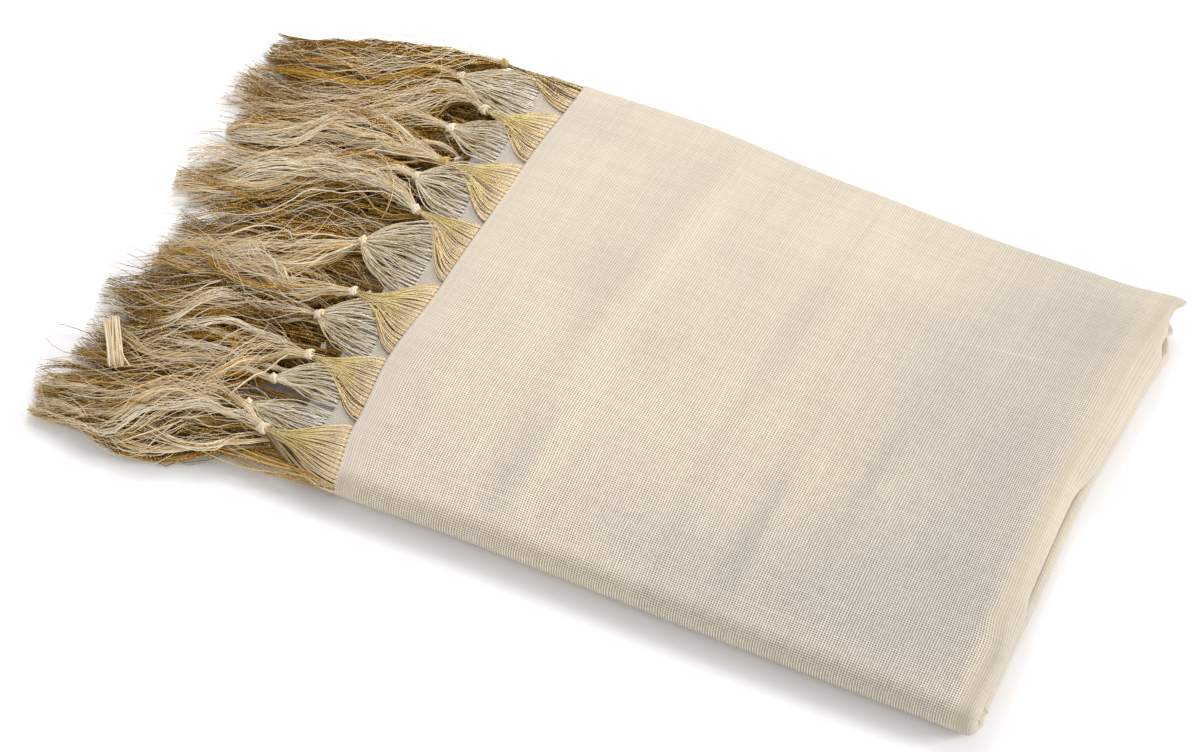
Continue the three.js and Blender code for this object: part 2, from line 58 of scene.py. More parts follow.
def srgb(red: int, green: int, blue: int) -> Colour:
    """A display colour as the numbers that a shader takes.

    Args:
        red, green, blue: its parts, from 0 to 255.

    Returns:
        The linear colour, opaque.
    """

    def linear(value: int) -> float:
        """One part, by the usual display curve."""
        share = value / 255
        return share / 12.92 if share <= 0.04045 else ((share + 0.055) / 1.055) ** 2.4

    return linear(red), linear(green), linear(blue), 1.0


def ramp(*rows: tuple[float, int, int, int]) -> Stops:
    """A ramp's stops, from rows of (position, red, green, blue)."""
    return tuple((position, srgb(*colour)) for position, *colour in rows)


# ---- Small maths ----


def ease(share: Array | float) -> Array:
    """Smooth step from 0 to 1."""
    t = np.clip(share, 0, 1)
    return t * t * (3 - 2 * t)


def read(table: Table, at: Array | float, scale: float = MM) -> Array:
    """Looks a place up in a table, eased smoothly from row to row.

    Args:
        table: rows of (place, value), the places in millimetres.
        at: the place or places, in metres.
        scale: what one unit of the table's values is, in metres, or 1 where they are plain numbers.

    Returns:
        The value at each place.
    """
    places = np.array([row[0] for row in table]) * MM
    values = np.array([row[1] for row in table]) * scale
    at = np.clip(np.asarray(at, float), places[0], places[-1])
    upper = np.clip(np.searchsorted(places, at, side="right"), 1, len(places) - 1)
    low, high = places[upper - 1], places[upper]
    return values[upper - 1] + (values[upper] - values[upper - 1]) * ease((at - low) / (high - low))


RIPPLE_WAVES = 5


def ripple(seed: int, *coordinates: Array) -> Array:
    """A smooth repeatable unevenness, with features about one unit across.

    Args:
        seed: which unevenness it is.
        coordinates: the places, one array for each axis.

    Returns:
        Values from about -1 to 1.
    """
    rng = np.random.default_rng(seed)
    total = 0.0
    for _ in range(RIPPLE_WAVES):
        phase = rng.uniform(0, 2 * math.pi)
        for coordinate in coordinates:
            phase = phase + coordinate * rng.uniform(2.0, 6.5) * rng.choice((-1, 1))
        total = total + np.sin(phase)
    return total / math.sqrt(2 * RIPPLE_WAVES)


def unit(vectors: Array) -> Array:
    """The vectors at length 1."""
    return vectors / np.maximum(np.linalg.norm(vectors, axis=-1, keepdims=True), 1e-12)


# ---- Meshes ----


class MeshMaker:
    """Turns arrays of points and faces into Blender objects."""

    @staticmethod
    def make(name: str, points: Array, faces: list[Array], maps: dict[str, list[Array]]) -> bpy.types.Object:
        """Makes one smooth-shaded object.

        Args:
            name: the piece's name.
            points: (n, 3) points in metres.
            faces: arrays of faces, (count, corners) each, one array for each number of corners.
            maps: for each UV map, its coordinates at the corners of each array of faces.

        Returns:
            The object, linked to the scene.
        """
        mesh = bpy.data.meshes.new(name)
        corners = np.concatenate([block.ravel() for block in faces]).astype(np.int32)
        sizes = np.concatenate([np.full(len(block), block.shape[1]) for block in faces])
        starts = np.concatenate([[0], np.cumsum(sizes)[:-1]]).astype(np.int32)
        mesh.vertices.add(len(points))
        mesh.vertices.foreach_set("co", points.astype(np.float32).ravel())
        mesh.loops.add(len(corners))
        mesh.loops.foreach_set("vertex_index", corners)
        mesh.polygons.add(len(starts))
        mesh.polygons.foreach_set("loop_start", starts)
        mesh.update(calc_edges=True)
        for label, blocks in maps.items():
            layer = mesh.uv_layers.new(name=label, do_init=False)
            flat = np.concatenate([block.reshape(-1, 2) for block in blocks])
            layer.uv.foreach_set("vector", flat.astype(np.float32).ravel())
        mesh.shade_smooth()
        mesh.validate()
        piece = bpy.data.objects.new(name, mesh)
        bpy.context.scene.collection.objects.link(piece)
        return piece

    @staticmethod
    def shell(name: str, face: Array, back: Array, weave: Array) -> bpy.types.Object:
        """A closed sheet with thickness, from two grids of points.

        Args:
            name: the piece's name.
            face: (rows, columns, 3) points of the side that shows.
            back: the same for the other side.
            weave: (rows, columns, 2) place in the cloth, in metres.

        Returns:
            The object, with the map "weave".
        """
        rows, columns = face.shape[:2]
        index = np.arange(rows * columns).reshape(rows, columns)
        other = index + rows * columns
        front = np.stack([index[:-1, :-1], index[:-1, 1:], index[1:, 1:], index[1:, :-1]], -1)
        rear = np.stack([other[:-1, :-1], other[1:, :-1], other[1:, 1:], other[:-1, 1:]], -1)
        rims = [
            np.stack([index[0, :-1], other[0, :-1], other[0, 1:], index[0, 1:]], -1),
            np.stack([index[-1, :-1], index[-1, 1:], other[-1, 1:], other[-1, :-1]], -1),
            np.stack([index[:-1, 0], index[1:, 0], other[1:, 0], other[:-1, 0]], -1),
            np.stack([index[:-1, -1], other[:-1, -1], other[1:, -1], index[1:, -1]], -1),
        ]
        quads = np.concatenate([front.reshape(-1, 4), rear.reshape(-1, 4), *rims])
        places = np.concatenate([weave.reshape(-1, 2)] * 2)
        points = np.concatenate([face.reshape(-1, 3), back.reshape(-1, 3)])
        return MeshMaker.make(name, points, [quads], {"weave": [places[quads]]})


@dataclass(frozen=True)
class Batch:
    """Some faces of one finish.

    Attributes:
        faces: (count, corners) the numbers of their points.
        info: (count, corners, 4) tone, share of the length, share of the turn, number of the strand.
        finish: the number of their finish among the piece's own.
    """

    faces: Array
    info: Array
    finish: int


class Strands:
    """Many tubes in one mesh: threads, fibres and the wraps of knots."""

    STEEP = 0.05  # a tube whose sideways direction is shorter than this stands upright
    MARGIN = 0.1  # the share of a strand's column that stays empty at each side

    def __init__(self) -> None:
        """Starts with nothing."""
        self.points: list[Array] = []
        self.walls: list[Batch] = []
        self.ends: list[Batch] = []
        self.count = 0
        self.tubes = 0

    def add(self, paths: Array, radii: Array, tones: Array, finish: int, sides: int = 3) -> None:
        """Adds a batch of tubes that have the same number of points.

        Args:
            paths: (tubes, points, 3) their centre lines, in metres.
            radii: (tubes, points) their radii.
            tones: (tubes,) a number from 0 to 1 that a finish reads as the strand's colour, with any painted
                shade that it is given.
            finish: the number of their finish among the piece's own.
            sides: how many sides each tube has.
        """
        order = np.argsort(tones)
        paths, radii, tones = paths[order], radii[order], tones[order]
        tubes, length = paths.shape[:2]
        along = unit(np.gradient(paths, axis=1))
        side = np.cross(along, (0.0, 0.0, 1.0))
        side[np.linalg.norm(side, axis=-1) < self.STEEP] = (0.0, 1.0, 0.0)
        side = unit(side)
        normal = np.cross(side, along)
        angle = 2 * math.pi * np.arange(sides) / sides + math.pi / 2
        ring = np.cos(angle)[:, None] * side[..., None, :] + np.sin(angle)[:, None] * normal[..., None, :]
        points = paths[..., None, :] + radii[..., None, None] * ring
        index = np.arange(tubes * length * sides).reshape(tubes, length, sides) + self.count
        here, there = index[:, :-1], index[:, 1:]
        quads = np.stack([here, there, np.roll(there, -1, 2), np.roll(here, -1, 2)], -1)
        share = np.arange(length) / (length - 1)
        low, high = share[None, :-1, None], share[None, 1:, None]
        turn = (np.arange(sides) / sides)[None, None, :]
        after = turn + 1 / sides
        strand = (np.arange(tubes) + self.tubes)[:, None, None]
        info = [
            np.stack(np.broadcast_arrays(tones[:, None, None], level, around, strand), -1)
            for level, around in ((low, turn), (high, turn), (high, after), (low, after))
        ]
        self.points.append(points.reshape(-1, 3))
        self.walls.append(Batch(quads.reshape(-1, 4), np.stack(info, -2).reshape(-1, 4, 4), finish))
        centre = np.full(2 * tubes, 0.5)
        flat = [np.tile(tones, 2), np.repeat((0.0, 1.0), tubes), centre, np.tile(strand.ravel(), 2)]
        caps = np.concatenate([index[:, 0], index[:, -1, ::-1]])
        self.ends.append(Batch(caps, np.repeat(np.stack(flat, -1)[:, None], sides, 1), finish))
        self.count += index.size
        self.tubes += tubes

    def make(self, name: str) -> bpy.types.Object:
        """Makes the object.

        Args:
            name: the piece's name.

        Returns:
            The object, with the maps "strand" (tone, share of the length), "ply" (turn, share) and
            "OFBake", where each strand has a column of its own.
        """
        batches = [*self.walls, *self.ends]
        info = [batch.info for batch in batches]
        room = 1 - 2 * self.MARGIN
        columns = [
            np.stack([(block[..., 3] + self.MARGIN + room * block[..., 2]) / self.tubes, block[..., 1]], -1)
            for block in info
        ]
        maps = {
            "OFBake": columns,
            "strand": [block[..., :2] for block in info],
            "ply": [block[..., (2, 1)] for block in info],
        }
        piece = MeshMaker.make(name, np.concatenate(self.points), [batch.faces for batch in batches], maps)
        finishes = np.concatenate([np.full(len(batch.faces), batch.finish) for batch in batches])
        piece.data.polygons.foreach_set("material_index", finishes.astype(np.int32))
        return piece


# ---- Shaders ----


class Value:
    """A socket whose arithmetic adds Math nodes."""

    def __init__(self, shader: "Shader", socket: bpy.types.NodeSocket) -> None:
        """Wraps one socket of one shader."""
        self.shader = shader
        self.socket = socket

    def math(self, operation: str, *others: "Value | float") -> "Value":
        """This value and others through one Math node."""
        return self.shader.math(operation, self, *others)

    def __add__(self, other: "Value | float") -> "Value":
        """Sum."""
        return self.math("ADD", other)

    __radd__ = __add__

    def __sub__(self, other: "Value | float") -> "Value":
        """Difference."""
        return self.math("SUBTRACT", other)

    def __rsub__(self, other: float) -> "Value":
        """Difference from a number."""
        return self.shader.math("SUBTRACT", other, self)

    def __mul__(self, other: "Value | float") -> "Value":
        """Product."""
        return self.math("MULTIPLY", other)

    __rmul__ = __mul__

    def __pow__(self, other: "Value | float") -> "Value":
        """Power."""
        return self.math("POWER", other)

    def __rpow__(self, other: float) -> "Value":
        """A number to the power of this value."""
        return self.shader.math("POWER", other, self)

    def step(self, low: float, high: float) -> "Value":
        """0 below low and 1 above high, smooth between them."""
        inputs = {"Value": self, "From Min": low, "From Max": high}
        return self.shader.node("ShaderNodeMapRange", {"interpolation_type": "SMOOTHSTEP"}, inputs)


class Shader:
    """One material and the nodes that make it."""

    def __init__(self, name: str) -> None:
        """Starts a material with one Principled shader.

        Args:
            name: the material's name.
        """
        self.material = bpy.data.materials.new(name)
        self.material.use_nodes = True
        self.tree = self.material.node_tree
        self.tree.nodes.clear()
        output = self.tree.nodes.new("ShaderNodeOutputMaterial")
        self.surface = self.tree.nodes.new("ShaderNodeBsdfPrincipled")
        self.tree.links.new(self.surface.outputs[0], output.inputs["Surface"])

    def _feed(self, socket: bpy.types.NodeSocket, value: "Value | float | Colour") -> None:
        """Links a value to a socket, or sets it there.

        Args:
            socket: the socket.
            value: another node's output, or a number or colour.
        """
        if isinstance(value, Value):
            self.tree.links.new(value.socket, socket)
        else:
            socket.default_value = value

    def node(
        self, kind: str, settings: dict | None = None, inputs: dict | None = None, output: int | str = 0
    ) -> Value:
        """Adds one node.

        Args:
            kind: its type.
            settings: its properties, and "stops" for a ramp, which are set first.
            inputs: the values or links of its sockets, by name or number.
            output: the socket that is given back.

        Returns:
            That output.
        """
        made = self.tree.nodes.new(kind)
        for name, value in (settings or {}).items():
            if name == "stops":
                self._set_stops(made.color_ramp, value)
            else:
                setattr(made, name, value)
        for name, value in (inputs or {}).items():
            self._feed(made.inputs[name], value)
        return Value(self, made.outputs[output])

    @staticmethod
    def _set_stops(ramp_made: bpy.types.ColorRamp, stops: Stops) -> None:
        """Gives a ramp its stops.

        Args:
            ramp_made: the ramp, with two stops of its own.
            stops: the position and colour of each.
        """
        while len(ramp_made.elements) < len(stops):
            ramp_made.elements.new(1.0)
        for element, (position, colour) in zip(ramp_made.elements, stops):
            element.position = position
            element.color = colour

    def math(self, operation: str, *values: Value | float) -> Value:
        """One Math node."""
        return self.node("ShaderNodeMath", {"operation": operation}, dict(enumerate(values)))

    def mix(self, factor: Value | float, first: Value | Colour, second: Value | Colour) -> Value:
        """One colour turned into another by a factor."""
        return self.node("ShaderNodeMix", {"data_type": "RGBA"}, {0: factor, 6: first, 7: second}, 2)

    def scaled(self, colour: Value, factor: Value) -> Value:
        """A colour made brighter or darker by a factor."""
        grey = self.node("ShaderNodeCombineXYZ", None, {0: factor, 1: factor, 2: factor})
        return self.node("ShaderNodeVectorMath", {"operation": "MULTIPLY"}, {0: colour, 1: grey})

    def split(self, vector: Value) -> tuple[Value, Value, Value]:
        """The three numbers of a vector.

        Args:
            vector: the vector.

        Returns:
            Its x, y and z.
        """
        made = self.tree.nodes.new("ShaderNodeSeparateXYZ")
        self._feed(made.inputs[0], vector)
        return tuple(Value(self, socket) for socket in made.outputs)

    def map(self, name: str) -> tuple[Value, Value]:
        """The two coordinates of a UV map."""
        return self.split(self.node("ShaderNodeUVMap", {"uv_map": name}))[:2]

    def noise(self, x: Value | float, y: Value | float, detail: float = 2.0) -> Value:
        """Smooth noise over two coordinates, with features about one unit across.

        Args:
            x, y: the coordinates.
            detail: how many finer layers it has.

        Returns:
            Values from 0 to 1.
        """
        place_at = self.node("ShaderNodeCombineXYZ", None, {0: x, 1: y, 2: 0.0})
        inputs = {"Vector": place_at, "Scale": 1.0, "Detail": detail}
        return self.node("ShaderNodeTexNoise", {"noise_dimensions": "2D"}, inputs)

    def chance(self, index: Value) -> Value:
        """A repeatable number from 0 to 1 for each whole number."""
        return self.node("ShaderNodeTexWhiteNoise", {"noise_dimensions": "1D"}, {"W": index})

    def bump(self, height: Value, distance: float) -> Value:
        """A normal from a height that goes from 0 to 1 over a distance in metres."""
        return self.node("ShaderNodeBump", None, {"Height": height, "Distance": distance})

    def finish(self, **inputs: Value | float | Colour) -> bpy.types.Material:
        """Feeds the Principled shader.

        Args:
            inputs: what its sockets get, by name, with _ for each space.

        Returns:
            The material.
        """
        for name, value in inputs.items():
            self._feed(self.surface.inputs[name.replace("_", " ")], value)
        return self.material


@dataclass(frozen=True)
class Tint:
    """A soft patch of another tone on the cloth: a painted highlight, a painted shade or a slub.

    Attributes:
        x, y: its middle, in millimetres.
        half_x, half_y: how far it reaches.
        lean: how far its long axis leans in x for each unit of y.
        amount: how strong it is, from 0 to 1.
    """

    x: float
    y: float
    half_x: float
    half_y: float
    lean: float
    amount: float

    def mask(self, shader: Shader, x: Value, y: Value) -> Value:
        """The patch over object coordinates.

        Args:
            shader: the material that it is for.
            x, y: the coordinates, in metres.

        Returns:
            A number from 0 to its amount.
        """
        down = (y - self.y * MM) * (1 / (self.half_y * MM))
        lean = self.lean * self.half_y / self.half_x
        across = (x - self.x * MM) * (1 / (self.half_x * MM)) - down * lean
        return math.e ** ((across * across + down * down) * -1.0) * self.amount


# Where the light falls on a fold or shines through the layers.
WARM_TINTS = (
    Tint(-4, 84, 26, 30, 0.1, 0.6),
    Tint(-64, 40, 7, 56, 0.12, 0.8),
    Tint(-64, -50, 7, 46, 0.0, 0.8),
    Tint(40, 88, 22, 18, 0.0, 0.4),
    Tint(16, 40, 7, 50, 0.04, 0.3),
    Tint(-112, 30, 26, 60, 0.0, 0.25),
    Tint(129.5, -8, 4, 100, 0.0, 0.75),
    Tint(0, -124, 170, 8, 0.0, 0.8),
)
# Painted shade: where the cloth is in the shade of its own soft folds, and where the light falls off toward
# the front and the right.
GREY_TINTS = (
    Tint(98, 20, 34, 90, 0.0, 0.75),
    Tint(100, -76, 60, 46, 0.0, 0.8),
    Tint(20, -92, 70, 26, 0.0, 0.5),
    Tint(-79, 26, 7, 50, 0.12, 0.15),
    Tint(-74, -72, 6, 28, 0.0, 0.6),
    Tint(58, 30, 22, 40, 0.0, 0.4),
    Tint(57, -22, 4, 24, 0.05, 0.5),
    Tint(0, 46, 6, 56, 0.06, 0.3),
    Tint(118, 92, 26, 22, 0.0, 0.4),
    Tint(25, -66, 4, 30, 0.0, 0.6),
)
# Thick threads and knots in the yarn.
SLUBS = (
    Tint(86, 59.5, 2.7, 5.5, 5.4, 0.9),
    Tint(-113, -39.5, 1.3, 2.6, -2.7, 0.8),
    Tint(-14.7, -16, 0.4, 17, -0.05, 0.9),
    Tint(-80, -98, 20, 0.5, 0.0, 0.9),
    Tint(42, -101.5, 26, 0.5, 0.0, 0.9),
    Tint(-104, 12, 24, 0.4, 0.0, 0.6),
    Tint(64, -88, 26, 0.4, 0.0, 0.6),
    Tint(-30, 66, 18, 0.4, 0.0, 0.6),
    Tint(-94, -86, 0.45, 16, 0.0, 0.8),
    Tint(24, 30, 0.4, 26, 0.0, 0.6),
    Tint(-28, -84, 0.4, 20, 0.0, 0.6),
    Tint(84, 84, 0.4, 20, 0.0, 0.5),
)


@dataclass(frozen=True)
class WovenCloth:
    """A plain weave of uneven handspun threads, a little open at its crossings.

    Attributes:
        name: the material's name.
        base, warm, grey: its usual colour and the two that it drifts to; on the outer layer grey also carries
            its painted shade and warm its painted highlights.
        pitch: from one thread to the next.
        open: how dark the gaps at the crossings are.
        lines: how much lighter the crosswise threads are than the ground.
        whole: whether it is the packet's outer layer, with its painted shade and highlights, its slubs and a
            plain hem.
        hem: where that layer's plain edge starts, as a place along the cloth.
        bend: where it turns down at the folded end.
    """

    name: str
    base: Colour
    warm: Colour
    grey: Colour
    pitch: float = 1.12 * MM
    open: float = 0.6
    lines: float = 0.26
    whole: bool = True
    hem: float = -140.6 * MM
    bend: float = 133.5 * MM

    def material(self) -> bpy.types.Material:
        """Builds the material. It reads the map "weave", in metres: length first, then width.

        Returns:
            The material.
        """
        shader = Shader(self.name)
        along, around = shader.map("weave")
        # Handspun threads lie unevenly, so both counts drift.
        drift = shader.noise(along * 60, around * 7) - 0.5
        weft = (along + drift * (1.1 * MM)) * (1 / self.pitch)
        sway = shader.noise(along * 7, around * 60) - 0.5
        warp = (around + sway * (1.0 * MM)) * (1 / (self.pitch * 0.95))
        weft_ridge = (weft * math.pi).math("SINE") ** 2.0
        warp_ridge = (warp * math.pi).math("SINE") ** 2.0
        gap = (1 - weft_ridge) * (1 - warp_ridge)
        weft_number = weft.math("FLOOR")
        warp_number = warp.math("FLOOR")
        cell = shader.node("ShaderNodeCombineXYZ", None, {0: weft_number, 1: warp_number})
        grain = shader.node("ShaderNodeTexWhiteNoise", {"noise_dimensions": "2D"}, {"Vector": cell})
        weft_tone = shader.chance(weft_number)
        warp_tone = shader.chance(warp_number + 0.5)
        weft_slub = shader.noise(weft_number * 3.7, around * 30, 1.0)
        warp_slub = shader.noise(along * 26, warp_number * 5.3, 1.0)
        thick_weft = weft_slub.step(0.66, 0.8) * weft_ridge
        thick_warp = warp_slub.step(0.7, 0.84) * warp_ridge
        cloudy = shader.noise(along * 30, around * 22, 4.0)
        patches = shader.noise(along * 17 + 3.1, around * 12, 3.0)
        colour = shader.mix(patches.step(0.36, 0.72) * 0.35, self.base, self.warm)
        pale = shader.noise(along * 13 + 9.4, around * 19, 3.0)
        colour = shader.mix(pale.step(0.5, 0.8) * 0.3, colour, self.grey)
        gain = 0.8
        if self.whole:
            x, y, _ = shader.split(shader.node("ShaderNodeTexCoord", output="Object"))
            # Painted shade and highlights: the grey tints darken the cloth where its folds and the
            # falling-off light leave it in shade, and the warm tints warm it where the light falls on a fold.
            grey = sum(tint.mask(shader, x, y) for tint in GREY_TINTS)
            warm = sum(tint.mask(shader, x, y) for tint in WARM_TINTS)
            colour = shader.mix(grey.math("MINIMUM", 1.0), colour, self.grey)
            colour = shader.mix(warm.math("MINIMUM", 1.0), colour, self.warm)
            # Round the folded end the weave shows less, and the cloth is painted warmer and a little darker;
            # the darkening is painted shade.
            turned = along.step(self.bend - 5 * MM, self.bend + 1 * MM)
            hem = 1 - along.step(self.hem + 5 * MM, self.hem + 13 * MM)
            # The weave shows more toward the front and the right than at the back.
            frontward = (x * 0.35 - y).step(-0.12, 0.12)
            gain = (0.5 + frontward * 1.1) * (1 - turned * 0.75) * (1 - hem * 0.7)
            colour = shader.mix(turned * 0.2, colour, self.warm)
        tone = (
            1.0
            + (weft_ridge - 0.5) * self.lines * gain
            + (warp_ridge - 0.5) * (self.lines * 0.35) * gain
            + (grain - 0.5) * 0.11 * gain
            + (weft_tone - 0.5) * 0.05
            + (warp_tone - 0.5) * 0.045
            + thick_weft * 0.08
            + thick_warp * 0.1
            + (cloudy - 0.5) * 0.1
            - (gap - 0.25) * self.open * gain
        )
        if self.whole:
            slubs = sum(slub.mask(shader, x, y) for slub in SLUBS)
            # The slubs are thicker yarn; the warm tints also lighten the tone, as painted highlight.
            tone = tone + slubs * 0.15 + warm * 0.04 - turned * 0.07
        colour = shader.scaled(colour, tone)
        height = weft_ridge * 0.6 + warp_ridge * 0.4 + thick_weft * 0.4 + thick_warp * 0.4
        return shader.finish(
            Base_Color=colour,
            Roughness=0.74 - weft_ridge * 0.1,
            Normal=shader.bump(height, 0.13 * MM),
            Sheen_Weight=0.15,
            Sheen_Roughness=0.45,
            Sheen_Tint=self.warm,
            Specular_IOR_Level=0.3,
        )


@dataclass(frozen=True)
class SpunThread:
    """Thread or loose fibre, coloured strand by strand.

    Attributes:
        name: the material's name.
        stops: its colours by tone, from 0 to 1.
        root: the colour at the start of each strand, and how much of it shows there.
        fade: the share of the length over which that colour is lost.
        ply: how many turns its two plies make over its length, or 0 for single fibres.
        gilt: below this tone a strand is wound with gilt and glints.
        spare: below this tone a strand keeps its own colour at the start.
        end_shade: how much darker a strand is painted toward its end, as painted shade where gathered threads
            crowd into their knot.
    """

    name: str
    stops: Stops
    root: Colour
    root_amount: float
    fade: float
    ply: float
    gilt: float
    spare: float = 0.0
    end_shade: float = 0.0

    def material(self) -> bpy.types.Material:
        """Builds the material. It reads the maps "strand" and "ply".

        Returns:
            The material.
        """
        shader = Shader(self.name)
        tone, share = shader.map("strand")
        turn, _ = shader.map("ply")
        streak = shader.noise(tone * 900, share * 9) - 0.5
        drawn = tone + streak * 0.22
        colour = shader.node("ShaderNodeValToRGB", {"stops": list(self.stops)}, {0: drawn})
        left = (1 - share.step(0.0, self.fade)) * self.root_amount
        if self.spare:
            left = left * tone.step(self.spare - 0.12, self.spare + 0.12)
        colour = shader.mix(left, colour, self.root)
        # Spots of gilt along the strand are metallic and smoother, as real gilt, and are also painted bright
        # gold, partly a painted glint.
        glint = shader.noise(tone * 1700, share * 150, 0.0).step(0.6, 0.72)
        gilt = (1 - tone.step(self.gilt - 0.06, self.gilt + 0.06)) * glint
        colour = shader.mix(gilt * 0.85, colour, srgb(255, 226, 128))
        if self.end_shade:
            # Painted shade toward the strand's end.
            colour = shader.scaled(colour, 1 - share.step(0.3, 1.0) * self.end_shade)
        inputs = {"Roughness": 0.62 - gilt * 0.3, "Metallic": gilt * 0.55}
        if self.ply:
            twist = ((turn + share * self.ply) * (4 * math.pi)).math("SINE")
            groove = (twist * -1).step(0.2, 1.0)
            # The groove between the plies is painted darker, as painted shade, as well as bumped.
            colour = shader.scaled(colour, 1 - groove * 0.14)
            inputs["Normal"] = shader.bump(1 - groove, 0.06 * MM)
        return shader.finish(
            Base_Color=colour,
            Sheen_Weight=0.04,
            Sheen_Roughness=0.5,
            Specular_IOR_Level=0.22,
            **inputs,
        )


class Finish(Enum):
    """The finishes that the pieces are dressed in."""

    TOP_CLOTH = WovenCloth("woven_cloth", srgb(198, 187, 172), srgb(206, 193, 171), srgb(178, 171, 161))
    END_CLOTH = WovenCloth(
        "woven_end", srgb(180, 171, 159), srgb(184, 171, 151), srgb(168, 164, 160),
        open=0.55,
        lines=0.2,
        whole=False,
    )
    LEDGE_CLOTH = WovenCloth(
        "woven_ledge", srgb(206, 202, 198), srgb(206, 198, 188), srgb(196, 196, 200),
        open=0.4,
        lines=0.12,
        whole=False,
    )
    LAYER_CLOTH = WovenCloth(
        "woven_layers", srgb(196, 184, 166), srgb(200, 184, 154), srgb(178, 168, 152),
        lines=0.06,
        whole=False,
    )
    GOLD_THREAD = SpunThread(
        "gold_thread",
        ramp(
            (0.0, 72, 50, 20), (0.2, 150, 118, 68), (0.45, 208, 180, 134),
            (0.7, 228, 205, 148), (1.0, 250, 233, 166),
        ),
        root=srgb(240, 221, 196),
        root_amount=0.88,
        fade=0.65,
        ply=9.0,
        gilt=0.95,
        spare=0.14,
        end_shade=0.3,
    )
    CREAM_THREAD = SpunThread(
        "cream_thread",
        ramp((0.0, 128, 96, 50), (0.25, 190, 164, 118), (0.55, 228, 214, 184), (1.0, 250, 244, 228)),
        root=srgb(230, 222, 208),
        root_amount=0.75,
        fade=0.45,
        ply=9.0,
        gilt=0.2,
    )
    FIBRE = SpunThread(
        "loose_fibre",
        ramp(
            (0.0, 44, 25, 6), (0.18, 114, 74, 18), (0.38, 184, 133, 38), (0.52, 213, 169, 74),
            (0.66, 221, 190, 122), (0.82, 231, 210, 170), (1.0, 250, 242, 224),
        ),
        root=srgb(232, 222, 198),
        root_amount=0.2,
        fade=0.3,
        ply=0.0,
        gilt=0.5,
        spare=0.58,
    )
    KNOT = SpunThread(
        "knotted_thread",
        ramp((0.0, 190, 156, 88), (0.3, 222, 200, 160), (1.0, 242, 232, 214)),
        root=srgb(232, 216, 190),
        root_amount=0.0,
        fade=0.3,
        ply=14.0,
        gilt=0.2,
    )


class Wardrobe:
    """Makes each finish's material once."""

    def __init__(self) -> None:
        """Starts with none."""
        self.made: dict[Finish, bpy.types.Material] = {}

    def dress(self, piece: bpy.types.Object, *finishes: Finish) -> bpy.types.Object:
        """Gives a piece its finishes.

        Args:
            piece: the piece.
            finishes: its finishes, in the order of its faces' numbers.

        Returns:
            The piece.
        """
        for finish in finishes:
            if finish not in self.made:
                self.made[finish] = finish.value.material()
            piece.data.materials.append(self.made[finish])
        return piece


def place(piece: bpy.types.Object, slot: str, *nodes: str) -> bpy.types.Object:
    """Fixes a piece to the one body of the part.

    Args:
        piece: the piece.
        slot: the record's material slot for it; not used.
        nodes: the CAD nodes that it stands for.

    Returns:
        The piece.
    """
    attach(piece, "root")
    if nodes:
        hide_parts(*nodes)
    LOG.info("%s: %d faces", piece.name, len(piece.data.polygons))
    return piece


# ---- The form of the packet ----


FOLD_END = 30 * MM  # a soft fold dies out over this distance past its ends


@dataclass(frozen=True)
class SoftFold:
    """A soft trough or ridge across the top.

    Attributes:
        x0, y0, x1, y1: the ends of its middle line, in millimetres.
        rise: its height, or its depth where it is negative.
        width: its half width.
    """

    x0: float
    y0: float
    x1: float
    y1: float
    rise: float
    width: float

    def height(self, x: Array, y: Array) -> Array:
        """Its height at places on the top.

        Args:
            x, y: the places, in metres.

        Returns:
            The heights, in metres.
        """
        along = np.clip((y - self.y0 * MM) / ((self.y1 - self.y0) * MM), 0, 1)
        centre = (self.x0 + (self.x1 - self.x0) * along) * MM
        past = np.maximum(0, np.maximum((y - self.y0 * MM) / FOLD_END, (self.y1 * MM - y) / FOLD_END))
        across = (x - centre) / (self.width * MM)
        return self.rise * MM * np.exp(-across * across - past * past)


@dataclass(frozen=True)
class Nudge:
    """A small tip or dent of the cloth at the folded end.

    Attributes:
        around: its middle, as distance round the packet from the back corner, in millimetres.
        curl: its middle, as the angle turned round the folded end, in degrees.
        half_around, half_curl: how far it reaches.
        out: how far it stands out, or in where it is negative, in millimetres.
    """

    around: float
    curl: float
    half_around: float
    half_curl: float
    out: float

    def amount(self, around: Array, curl: Array) -> Array:
        """How far it moves each place.

        Args:
            around: the places' distances round the packet, in metres.
            curl: their angles round the folded end, in radians.

        Returns:
            The distances, in metres.
        """
        down = (around - self.around * MM) / (self.half_around * MM)
        turned = (np.degrees(curl) - self.curl) / self.half_curl
        return self.out * MM * np.exp(-down * down - turned * turned)


